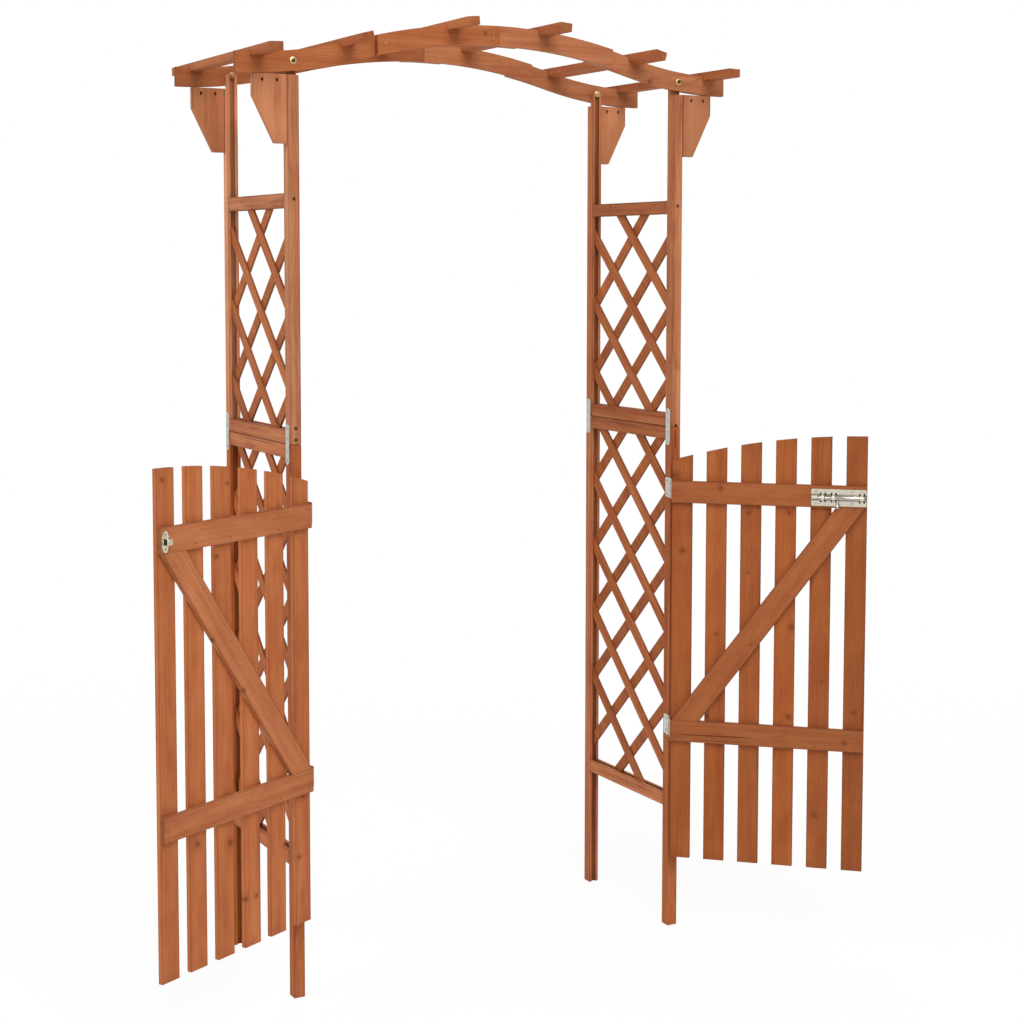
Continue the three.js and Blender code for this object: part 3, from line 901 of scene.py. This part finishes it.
leaf_setback = 0.008
leaf_length = 0.446
board_thickness = 0.010
picket_width = 0.046
picket_count = 6
picket_front = 0.004
rail_front = 0.0143
rail_height = 0.050
rail_bottoms = {"lower": 0.446, "upper": 0.997}
brace_inset = 0.004
nail_radius = 0.0016
nail_hole_radius = nail_radius * 1.15
nail_sunk = 0.0007
nail_profile = ((nail_radius, -0.0002), (nail_radius, 0.0001), (nail_radius * 0.6, 0.0004),
                (0.0001, 0.0005))
nail_steel = plated_steel("stained_nails", "7a5c48", 0.5)

# Two nails to each crossing of a picket and a rail, as shares of the rail's height from its middle,
# and two to each crossing with the brace, which follow its lean. None is set quite true.
nail_lifts = (-0.3, 0.26)
nail_scatter_out = 0.012
nail_scatter_share = 0.06
brace_nails = (-0.012, 0.012)
brace_nail_slip = 0.4
brace_scatter_out = 0.003
brace_scatter_up = 0.004
end_nail_out = 0.004
end_nail_up = 0.026


class Leaf:
    """A gate leaf's own directions and places, from its hinge pin outwards."""

    def __init__(self, side, joint, reach):
        self.side = side
        self.body = joint["child"]
        self.reach = reach
        turn = -math.radians(joint["range_deg"][0]) * joint["axis"][2]
        pin = Vector((joint["pos_m"][0], joint["pos_m"][1], 0))
        self.matrix = Matrix.Translation(pin) @ Matrix.Rotation(turn, 4, "Z")
        self.along = self.matrix.to_3x3() @ Vector((reach, 0, 0))
        self.through = self.matrix.to_3x3() @ BACKWARD
        self.hung = Matrix.Translation(pin)

    def at(self, out, back, height):
        """The place so far out from the pin, so far back from it and so high."""
        return self.matrix @ Vector((self.reach * out, back, height))

    def face(self, back):
        """Stands a flat shape upright in the leaf: x runs out from the pin, y up, z to the back."""
        stand = Matrix(((self.reach, 0, 0, 0), (0, 0, 1, back), (0, 1, 0, 0), (0, 0, 0, 1)))
        return self.matrix @ stand

    def cut(self, out_range, back_range, height_range, along, across, tone):
        """A board of the leaf, as the wood finish wants it."""
        made = Cut(Vector(), Vector(), along, across, tone)
        mid = [(pair[0] + pair[1]) / 2 for pair in (out_range, back_range, height_range)]
        made.middle = self.at(*mid)
        half = [(pair[1] - pair[0]) / 2 for pair in (out_range, back_range, height_range)]
        ways = (self.along, self.through, UP)
        made.half = [sum(abs(side.dot(way)) * size for side, size in zip(ways, half))
                     for way in (made.along, made.across, made.through)]
        return made


hinge_joints = {joint["name"]: joint for joint in frame["joints"]}
left_leaf = Leaf("left", hinge_joints["left_gate_hinge"], 1)
right_leaf = Leaf("right", hinge_joints["right_gate_hinge"], -1)
leaves = (left_leaf, right_leaf)
picket_pitch = (leaf_length - leaf_setback - picket_width) / (picket_count - 1)
picket_middles = [leaf_setback + picket_width / 2 + i * picket_pitch for i in range(picket_count)]
picket_range = (picket_front, picket_front + board_thickness)
board_range = (rail_front, rail_front + board_thickness)
leaf_arris = 0.0010
# Stain and painted shade along the arrises of the pickets and of the frame boards.
leaf_edge_stain_and_shade = 0.3
board_edge_stain_and_shade = 0.35
leaf_figure = 0.75
gate_rail_tone = 0.97
brace_tone = 1.01
leaf_tones = {"left": 1.16, "right": 0.81}
leaf_warmth = {"left": 0.21, "right": 0.49}
board_warmth = {"left": 0.02, "right": 0.31}
leaf_end_grain = 0.45
picket_tones = {
    "left": (1.0, 1.05, 1.07, 0.98, 1.04, 0.95),
    "right": (1.0, 1.04, 0.98, 1.07, 0.95, 0.85),
}

# Each knot has its place out from the hinge pin, its height and its radius. Each crack has the same
# two places, its length and its width.
picket_knots = {
    ("right", 1): ((0.013, 1.059, 0.007), (0.034, 0.886, 0.006)),
    ("right", 2): ((0.093, 0.5066, 0.004), (0.113, 0.698, 0.004)),
    ("right", 3): ((0.183, 0.842, 0.003), (0.182, 0.978, 0.004)),
    ("right", 4): ((0.2746, 0.9817, 0.006), (0.284, 0.7228, 0.008), (0.279, 0.517, 0.006)),
    ("right", 5): ((0.338, 0.2937, 0.0055), (0.352, 0.602, 0.003)),
    ("right", 6): ((0.4238, 0.5344, 0.004),),
    ("left", 1): ((0.030, 0.440, 0.006), (0.044, 0.315, 0.006)),
    ("left", 2): ((0.1155, 0.588, 0.005), (0.090, 0.353, 0.004)),
    ("left", 3): ((0.208, 0.272, 0.006), (0.177, 0.271, 0.005)),
    ("left", 4): ((0.284, 0.972, 0.005), (0.253, 0.398, 0.007), (0.252, 1.112, 0.004)),
    ("left", 5): ((0.3466, 0.420, 0.007),),
    ("left", 6): ((0.430, 1.135, 0.005),),
}
brace_knots = {
    "left": ((0.308, 0.813, 0.0045), (0.220, 0.699, 0.0045)),
    "right": ((0.192, 0.679, 0.003),),
}
gate_rail_knots = {
    ("right", "upper"): ((0.120, 1.034, 0.006),),
    ("right", "lower"): ((0.405, 0.468, 0.005),),
}
gate_rail_cracks = {
    ("right", "lower"): ((0.110, 0.4635, 0.210, 0.0016), (0.125, 0.4525, 0.160, 0.0008)),
}


def add_board(leaf, name, outline, nail_places, cut, knots, **marks):
    """Lays one board of a leaf's frame behind the pickets, with a hole for each of its nails."""
    holes = [oval(x, z, nail_hole_radius, nail_hole_radius, 10) for x, z in nail_places]
    board = bmesh.new()
    lay(flat_shape(outline, board_thickness, holes, nail_sunk), leaf.face(rail_front), board)
    knots = [(leaf.at(x, board_range[1], z), radius) for x, z, radius in knots]
    finish = stained_fir(f"stain_{name}", [cut], board_warmth[leaf.side], board_edge_stain_and_shade, leaf_figure,
                         knots, **marks)
    make_piece(name, board, finish, leaf.body, leaf_arris, (f"gate_{leaf.side}_frame",))


for leaf in leaves:
    leaf_tone = leaf_tones[leaf.side]
    for number, out in enumerate(picket_middles, 1):
        node = f"gate_{leaf.side}_picket_{number}"
        low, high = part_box(node)
        tone = leaf_tone * picket_tones[leaf.side][number - 1]
        knots = [(leaf.at(x, picket_range[1], z), radius)
                 for x, z, radius in picket_knots.get((leaf.side, number), ())]
        across = (out - picket_width / 2, out + picket_width / 2)
        cut = leaf.cut(across, picket_range, (low.z, high.z), UP, leaf.along, tone)
        finish = stained_fir(f"stain_{node}", [cut], leaf_warmth[leaf.side], leaf_edge_stain_and_shade, leaf_figure,
                             knots, end_grain=leaf_end_grain)
        dress(node, finish, leaf_arris)

    draw = random.Random(f"nails_{leaf.side}")
    nails = []
    for level, bottom in rail_bottoms.items():
        top = bottom + rail_height
        places = []
        for out in picket_middles:
            for lift in nail_lifts:
                aside = draw.uniform(-nail_scatter_out, nail_scatter_out)
                share = 0.5 + lift + draw.uniform(-nail_scatter_share, nail_scatter_share)
                places.append((out + aside, bottom + rail_height * share))
        outline = [(leaf_setback, bottom), (leaf_length, bottom), (leaf_length, top), (leaf_setback, top)]
        tone = leaf_tone * gate_rail_tone
        cut = leaf.cut((leaf_setback, leaf_length), board_range, (bottom, top), leaf.along, UP, tone)
        knots = gate_rail_knots.get((leaf.side, level), ())
        cracks = [(leaf.at(x, board_range[1], z), length, opening)
                  for x, z, length, opening in gate_rail_cracks.get((leaf.side, level), ())]
        add_board(leaf, f"gate_{leaf.side}_rail_{level}", outline, places, cut, knots,
                  cracks=cracks, end_grain=leaf_end_grain)
        nails += places

    lower_top = rail_bottoms["lower"] + rail_height
    upper_bottom = rail_bottoms["upper"]
    rise = upper_bottom - lower_top
    run = leaf_length - leaf_setback - 2 * brace_inset
    foot = rail_height * math.hypot(run - rail_height * run / math.hypot(run, rise), rise) / rise
    start = leaf_setback + brace_inset
    stop = leaf_length - brace_inset
    outline = [(start, lower_top), (start + foot, lower_top), (stop, upper_bottom),
               (stop - foot, upper_bottom)]
    lean = math.atan2(rise, stop - start - foot)
    places = []
    for out in picket_middles[1:-1]:
        share = (out - start - foot / 2) / (stop - start - foot)
        for aside in brace_nails:
            x = out + aside + draw.uniform(-brace_scatter_out, brace_scatter_out)
            on_brace = lower_top + share * rise - aside * brace_nail_slip
            places.append((x, on_brace + draw.uniform(-brace_scatter_up, brace_scatter_up)))
    places.append((stop - foot / 2 + end_nail_out, upper_bottom - end_nail_up))
    places.append((start + foot / 2 - end_nail_out, lower_top + end_nail_up))
    slope = leaf.along * math.cos(lean) + UP * math.sin(lean)
    square = UP * math.cos(lean) - leaf.along * math.sin(lean)
    tone = leaf_tone * brace_tone
    cut = leaf.cut((start, stop), board_range, (lower_top, upper_bottom), slope, square, tone)
    cut.half = [math.hypot(rise, run) / 2, rail_height / 2, board_thickness / 2]
    add_board(leaf, f"gate_{leaf.side}_brace", outline, places, cut, brace_knots[leaf.side])
    nails += places

    heads = bmesh.new()
    for out, height in nails:
        place = leaf.at(out, board_range[1] - nail_sunk, height)
        lay(turned(nail_profile), on_surface(place, leaf.through), heads)
    make_piece(f"gate_{leaf.side}_nails", heads, nail_steel, leaf.body)


# Butt hinges. Two pressed plates curled round a steel pin, one screwed to the inner face of the
# front post and the other to the end of the gate's rail.

knuckle_radius = 0.0045
knuckle_height = 0.045
knuckle_third = knuckle_height / 3
knuckle_gap = 0.0003
knuckle_edge = 0.0004
pin_profile = ((0.0021, -knuckle_height / 2 - 0.0006), (0.0028, -knuckle_height / 2),
               (0.0028, knuckle_height / 2), (0.0021, knuckle_height / 2 + 0.0006))
web_start = 0.002
hinge_thickness = 0.0015
hinge_depth = 0.024
hinge_past_pin = 0.0006
hinge_corner = 0.0025
hinge_rise = 0.006
hinge_screw_radius = 0.0030
pressed_arris = 0.00025
post_plate_out = -0.0052
leaf_plate_out = 0.0062
hinge_screws = ((0.0155, -0.0145), (0.0115, 0.0), (0.0155, 0.0145))
hinge_steel = plated_steel("zinc_hinges", "cfccc4", 0.3)


def knuckle(length):
    """One curl of the hinge, its edges broken."""
    inner = knuckle_radius - knuckle_edge
    return turned(((inner, -length / 2), (knuckle_radius, -length / 2 + knuckle_edge),
                   (knuckle_radius, length / 2 - knuckle_edge), (inner, length / 2)))


for leaf in leaves:
    for level, bottom in rail_bottoms.items():
        height = bottom + rail_height / 2 + hinge_rise
        for half, hold, first_out in (("post_plate", leaf.hung, post_plate_out),
                                      ("gate_plate", leaf.matrix, leaf_plate_out)):
            node = f"hinge_{leaf.side}_{level}_{half}"
            body = "arch" if half == "post_plate" else leaf.body
            shape = bmesh.new()
            outline = rounded_box(-hinge_past_pin, -knuckle_height / 2, hinge_depth, knuckle_height / 2,
                                  hinge_corner)
            outward = 1 if half == "post_plate" else -1
            root = first_out if outward > 0 else first_out + hinge_thickness
            flat = Matrix(((0, 0, leaf.reach * outward, leaf.reach * root), (1, 0, 0, 0),
                           (0, 1, 0, height), (0, 0, 0, 1)))
            lay(flat_shape(outline, hinge_thickness), hold @ flat, shape)
            if half == "post_plate":
                curls = (-knuckle_third, knuckle_third)
                lay(turned(pin_profile), hold @ Matrix.Translation((0, 0, height)), shape)
            else:
                curls = (0.0,)
                half_web = hinge_thickness / 2
                section = [(web_start, -half_web), (leaf_plate_out, -half_web),
                           (leaf_plate_out, half_web), (web_start, half_web)]
                web = flat_shape(section, knuckle_third - knuckle_gap)
                turn = Matrix.Translation((0, 0, height - knuckle_third / 2 + knuckle_gap / 2))
                lay(web, hold @ turn @ Matrix.Diagonal((leaf.reach, 1, 1, 1)), shape)
            for lift in curls:
                curl = knuckle(knuckle_third - knuckle_gap)
                lay(curl, hold @ Matrix.Translation((0, 0, height + lift)), shape)
            make_piece(f"{node}_pressed", shape, hinge_steel, body, pressed_arris, (node,))
            faces_out = hold.to_3x3() @ Vector((leaf.reach * outward, 0, 0))
            top = leaf.reach * (root + outward * hinge_thickness)
            heads = [hold @ Vector((top, y, height + z)) for y, z in hinge_screws]
            add_screws(f"{node}_screws", heads, faces_out, hinge_screw_radius, screw_steel, body)


# Barrel bolt. A pressed steel plate on the right leaf, with three straps lanced out of it to guide
# a round bar with a drop knob, and a keeper with one wide strap on the left leaf.

bolt_plate_back = 0.0246
bolt_plate_thickness = 0.0015
bolt_face = bolt_plate_back + bolt_plate_thickness
bolt_level = 1.020
bolt_axis = bolt_face + 0.0066
bolt_plate_length = 0.122
bolt_plate_half = 0.019
bar_radius = 0.0055
bar_length = 0.105
bar_setback = 0.003
strap_bore = 0.0059
strap_wall = 0.0016
strap_width = 0.0065
strap_places = (0.096, 0.072, 0.010)
knob_place = 0.0635
knob_drop = 0.020
keeper_half_width = 0.010
keeper_half_height = 0.021
keeper_bore = 0.0063
keeper_strap_width = 0.010
bolt_plate_corner = 0.003
body_screw_places = (0.112, 0.032)
body_screw_levels = (-0.0135, 0.0135)
body_screw_radius = 0.0031
keeper_screw_radius = 0.0030

# The openings that the straps are lanced from lie on both sides of each strap, above and below the
# bar. The bead is pressed up between two slits at the plate's far end.
opening_half_width = 0.0017
opening_half_height = 0.0036
opening_level = 0.0076
opening_corner = 0.0014
opening_depth = 0.0012
end_slit = (-0.0062, -0.0019, -0.0012, -0.0004)
end_slit_corner = 0.0006
bead_start = -0.1210
bead_stop = -0.1085
bead_half_width = 0.0040
bead_rise = 0.0022
bead_sunk = 0.0001
bead_slit_level = 0.0052
bead_slit_half = 0.0005
bead_slit_corner = 0.0004


def half_circle(steps):
    """The angles of half a circle in even steps."""
    return [math.pi * i / steps for i in range(steps + 1)]


def strap(bore, wall, stand, width):
    """A half-round guide strap on its feet, lying along x and standing on z = 0."""
    shape = bmesh.new()
    reach = bore + wall
    arc = half_circle(14)
    outer = [(reach * math.cos(a), stand + reach * math.sin(a)) for a in arc]
    inner = [(-bore * math.cos(a), stand + bore * math.sin(a)) for a in arc]
    section = [(reach, 0)] + outer + [(-reach, 0), (-bore, 0)] + inner + [(bore, 0)]
    near = [shape.verts.new((-width / 2, y, z)) for y, z in section]
    far = [shape.verts.new((width / 2, y, z)) for y, z in section]
    skin(shape, near, far)
    shape.faces.new(near)
    shape.faces.new(far)
    return shape


from_end = Matrix.Translation((leaf_length, bolt_level, 0))
plate_place = right_leaf.face(bolt_plate_back) @ from_end
top_place = right_leaf.face(bolt_face) @ from_end
openings = []
for place in strap_places:
    for aside in (-strap_width / 2 - opening_half_width, strap_width / 2 + opening_half_width):
        for level in (-opening_level, opening_level):
            x = -place + aside
            openings.append(rounded_box(x - opening_half_width, level - opening_half_height,
                                        x + opening_half_width, level + opening_half_height,
                                        opening_corner, 3))
openings.append(rounded_box(*end_slit, end_slit_corner, 2))
for level in (-bead_slit_level, bead_slit_level):
    openings.append(rounded_box(bead_start, level - bead_slit_half, bead_stop, level + bead_slit_half,
                                bead_slit_corner, 2))
# Below the plate's face the openings, the end slit and the bead slits are painted near black as the shade
# in them.
recess = (right_leaf.through, right_leaf.at(0, bolt_face, 0).dot(right_leaf.through))
# Where the bar's painted shadow lies on the plate, and how wide it is.
bar_shadow = (bolt_level, bar_radius + 0.0030, recess[1] + 0.0006)
body_steel = plated_steel("zinc_bolt_body", "dad3c0", 0.3, 0.22, recess, bar_shadow)
body_shape = bmesh.new()
outline = rounded_box(-bolt_plate_length, -bolt_plate_half, 0, bolt_plate_half, bolt_plate_corner)
lay(flat_shape(outline, bolt_plate_thickness, openings, opening_depth), plate_place, body_shape)
for place in strap_places:
    guide = strap(strap_bore, strap_wall, bolt_axis - bolt_face, strap_width)
    lay(guide, top_place @ Matrix.Translation((-place, 0, 0)), body_shape)
bead = [(bead_half_width * math.cos(a), bead_rise * math.sin(a)) for a in half_circle(10)]
ridge = bmesh.new()
near = [ridge.verts.new((bead_start, y, z - bead_sunk)) for y, z in bead]
far = [ridge.verts.new((bead_stop, y, z - bead_sunk)) for y, z in bead]
skin(ridge, near, far)
ridge.faces.new(near)
ridge.faces.new(far)
lay(ridge, top_place, body_shape)
make_piece("bolt_body_pressed", body_shape, body_steel, right_leaf.body, pressed_arris,
           ("bolt_body",))
heads = [right_leaf.at(leaf_length - x, bolt_face, bolt_level + z)
         for x in body_screw_places for z in body_screw_levels]
add_screws("bolt_body_screws", heads, right_leaf.through, body_screw_radius, screw_steel,
           right_leaf.body)

bar_steel = plated_steel("bright_bar", "a9a6a0", 0.22, 0.1)
bar_shape = bmesh.new()
along_bar = Matrix(((0, 0, 1, 0), (1, 0, 0, 0), (0, 1, 0, 0), (0, 0, 0, 1)))
bar = turned(((bar_radius - 0.0012, -bar_length / 2), (bar_radius, -bar_length / 2 + 0.0012),
              (bar_radius, bar_length / 2 - 0.0020), (bar_radius - 0.0016, bar_length / 2)))
bar_middle = -bar_setback - bar_length / 2
axis_place = right_leaf.face(bolt_axis) @ from_end
lay(bar, axis_place @ Matrix.Translation((bar_middle, 0, 0)) @ along_bar, bar_shape)
knob = turned(((0.0022, -0.0040), (0.0024, -0.0120), (0.0026, -knob_drop + 0.0050),
               (0.0042, -knob_drop + 0.0030), (0.0050, -knob_drop), (0.0044, -knob_drop - 0.0028),
               (0.0026, -knob_drop - 0.0046), (0.0006, -knob_drop - 0.0050)))
knob_matrix = axis_place @ Matrix.Translation((-knob_place, 0, 0)) @ Matrix.Rotation(-math.pi / 2, 4, "X")
lay(knob, knob_matrix, bar_shape)
make_piece("bolt_bar_turned", bar_shape, bar_steel, "bolt", 0.0, ("bolt_bar",))

keeper_shape = bmesh.new()
half_middle = keeper_bore + strap_wall + 0.0012
lobe = 0.0068
lobe_height = keeper_half_height - lobe
keeper_slot_half = 0.0044
keeper_slot_depth = 0.0013
outline = []
for way in (1, -1):
    outline.append((way * keeper_half_width, -way * half_middle))
    outline.append((way * keeper_half_width, way * half_middle))
    for angle in half_circle(10):
        angle += 0 if way > 0 else math.pi
        outline.append((lobe * math.cos(angle), way * lobe_height + lobe * math.sin(angle)))
keeper_out = leaf_length - keeper_half_width
keeper_place = left_leaf.face(bolt_plate_back) @ Matrix.Translation((keeper_out, bolt_level, 0))
opening = rounded_box(-keeper_slot_half, -keeper_bore, keeper_slot_half, keeper_bore, 0.001, 2)
lay(flat_shape(outline, bolt_plate_thickness, [opening], keeper_slot_depth), keeper_place, keeper_shape)
guide = strap(keeper_bore, strap_wall, bolt_axis - bolt_face, keeper_strap_width)
lay(guide, keeper_place @ Matrix.Translation((0, 0, bolt_plate_thickness)), keeper_shape)
# The keeper's slot is painted near black below the plate's face, as the shade in it.
keeper_recess = (left_leaf.through, left_leaf.at(0, bolt_face, 0).dot(left_leaf.through))
keeper_steel = plated_steel("zinc_keeper", "e0d6bb", 0.28, 0.25, keeper_recess)
make_piece("bolt_keeper_pressed", keeper_shape, keeper_steel, left_leaf.body, pressed_arris,
           ("bolt_keeper",))
heads = [left_leaf.at(keeper_out, bolt_face, bolt_level + z) for z in (-lobe_height, lobe_height)]
add_screws("bolt_keeper_screws", heads, left_leaf.through, keeper_screw_radius, screw_steel,
           left_leaf.body)


# Ground and light. A white studio floor that keeps the arch's soft shadow, an even white surround
# and three large soft lamps: the main one high in front, a weaker one from the left and one from
# behind on the right.

floor_size = 40.0
floor_gap = 0.0005
shadow_reach = (1.2, 3.6)
shadow_glow = 0.9
mirror_share = 0.6
surround_strength = 0.5
ground = bmesh.new()
bmesh.ops.create_grid(ground, x_segments=2, y_segments=2, size=floor_size / 2)
ground_mesh = bpy.data.meshes.new("studio_floor")
ground.to_mesh(ground_mesh)
ground.free()
floor = bpy.data.objects.new("studio_floor", ground_mesh)
floor.location.z = cad_box[0][2] - floor_gap
bpy.context.scene.collection.objects.link(floor)
paper = Finish("white_floor")
paper.show(Base_Color=colour("fcfcfc"), Roughness=0.9, Specular_IOR_Level=0.1)
rays = paper.node("ShaderNodeLightPath").socket.node
camera_ray = Level(paper, rays.outputs["Is Camera Ray"])
glossy_ray = Level(paper, rays.outputs["Is Glossy Ray"])
glow = paper.node("ShaderNodeEmission", {}, {"Color": (1, 1, 1, 1), "Strength": 1.0})
lit = Level(paper, paper.surface.outputs[0])
place = paper.node("ShaderNodeTexCoord", output="Object")
reach = paper.node("ShaderNodeVectorMath", {"operation": "LENGTH"}, {0: place}, "Value")
plain = paper.fade(reach, *shadow_reach, shadow_glow, 1.0)
seen_plain = camera_ray * plain + glossy_ray * mirror_share
shown = paper.node("ShaderNodeMixShader", {}, {0: seen_plain, 1: lit, 2: glow})
paper.join(paper.tree.nodes["Material Output"], {"Surface": shown})
floor.data.materials.append(paper.material)

surround = bpy.data.worlds.new("studio_surround")
surround.use_nodes = True
bpy.context.scene.world = surround
sky = surround.node_tree
soft = sky.nodes["Background"]
soft.inputs["Color"].default_value = (1, 1, 1, 1)
soft.inputs["Strength"].default_value = surround_strength
white = sky.nodes.new("ShaderNodeBackground")
white.inputs["Color"].default_value = (1, 1, 1, 1)
white.inputs["Strength"].default_value = 1.0
path = sky.nodes.new("ShaderNodeLightPath")
seen = sky.nodes.new("ShaderNodeMath")
seen.operation = "MULTIPLY_ADD"
seen.inputs[1].default_value = mirror_share
sky.links.new(path.outputs["Is Glossy Ray"], seen.inputs[0])
sky.links.new(path.outputs["Is Camera Ray"], seen.inputs[2])
mixed = sky.nodes.new("ShaderNodeMixShader")
sky.links.new(seen.outputs[0], mixed.inputs[0])
sky.links.new(soft.outputs[0], mixed.inputs[1])
sky.links.new(white.outputs[0], mixed.inputs[2])
sky.links.new(mixed.outputs[0], sky.nodes["World Output"].inputs["Surface"])


def soft_lamp(name, place, target, size, power):
    """A round soft lamp that points at a place."""
    lamp = bpy.data.lights.new(name, "AREA")
    lamp.shape = "DISK"
    lamp.size = size
    lamp.energy = power
    holder = bpy.data.objects.new(name, lamp)
    holder.location = place
    holder.rotation_euler = (Vector(target) - Vector(place)).to_track_quat("-Z", "Y").to_euler()
    bpy.context.scene.collection.objects.link(holder)


soft_lamp("key_lamp", (-0.6, -4.1, 4.7), (0, 0, 1.0), 3.6, 186)
soft_lamp("fill_lamp", (-3.6, -0.6, 2.6), (0, 0, 1.1), 2.4, 52)
soft_lamp("rear_lamp", (2.4, 4.0, 3.2), (0, 0, 1.1), 3.0, 80)
bpy.context.scene.view_settings.view_transform = "Standard"


# Camera. It stands front left at about eye height and looks a little down, with the lens shifted
# down as well, so that the arch fills the frame.

picture_side = 1024.0
focal_pixels = 1905.129
centre_column = 519.808
centre_row = 408.0
view_turn = math.radians(28.6364)
view_dip = math.radians(4.3572)
view_roll = 0.00169
view_distance = 4.37796
view_target = middle + Vector((0.16279, 0.0, 1.20763))
ahead = Vector((math.sin(view_turn) * math.cos(view_dip),
                math.cos(view_turn) * math.cos(view_dip), -math.sin(view_dip)))
camera_data = bpy.data.cameras.new("studio_camera")
camera_data.sensor_width = 36.0
camera_data.lens = camera_data.sensor_width * focal_pixels / picture_side
camera_data.shift_x = (picture_side / 2 - centre_column) / picture_side
camera_data.shift_y = (centre_row - picture_side / 2) / picture_side
camera = bpy.data.objects.new("studio_camera", camera_data)
turn = ahead.to_track_quat("-Z", "Y").to_matrix().to_4x4()
stand = Matrix.Translation(view_target - ahead * view_distance)
camera.matrix_world = stand @ turn @ Matrix.Rotation(view_roll, 4, "Z")
bpy.context.scene.collection.objects.link(camera)
bpy.context.scene.camera = camera
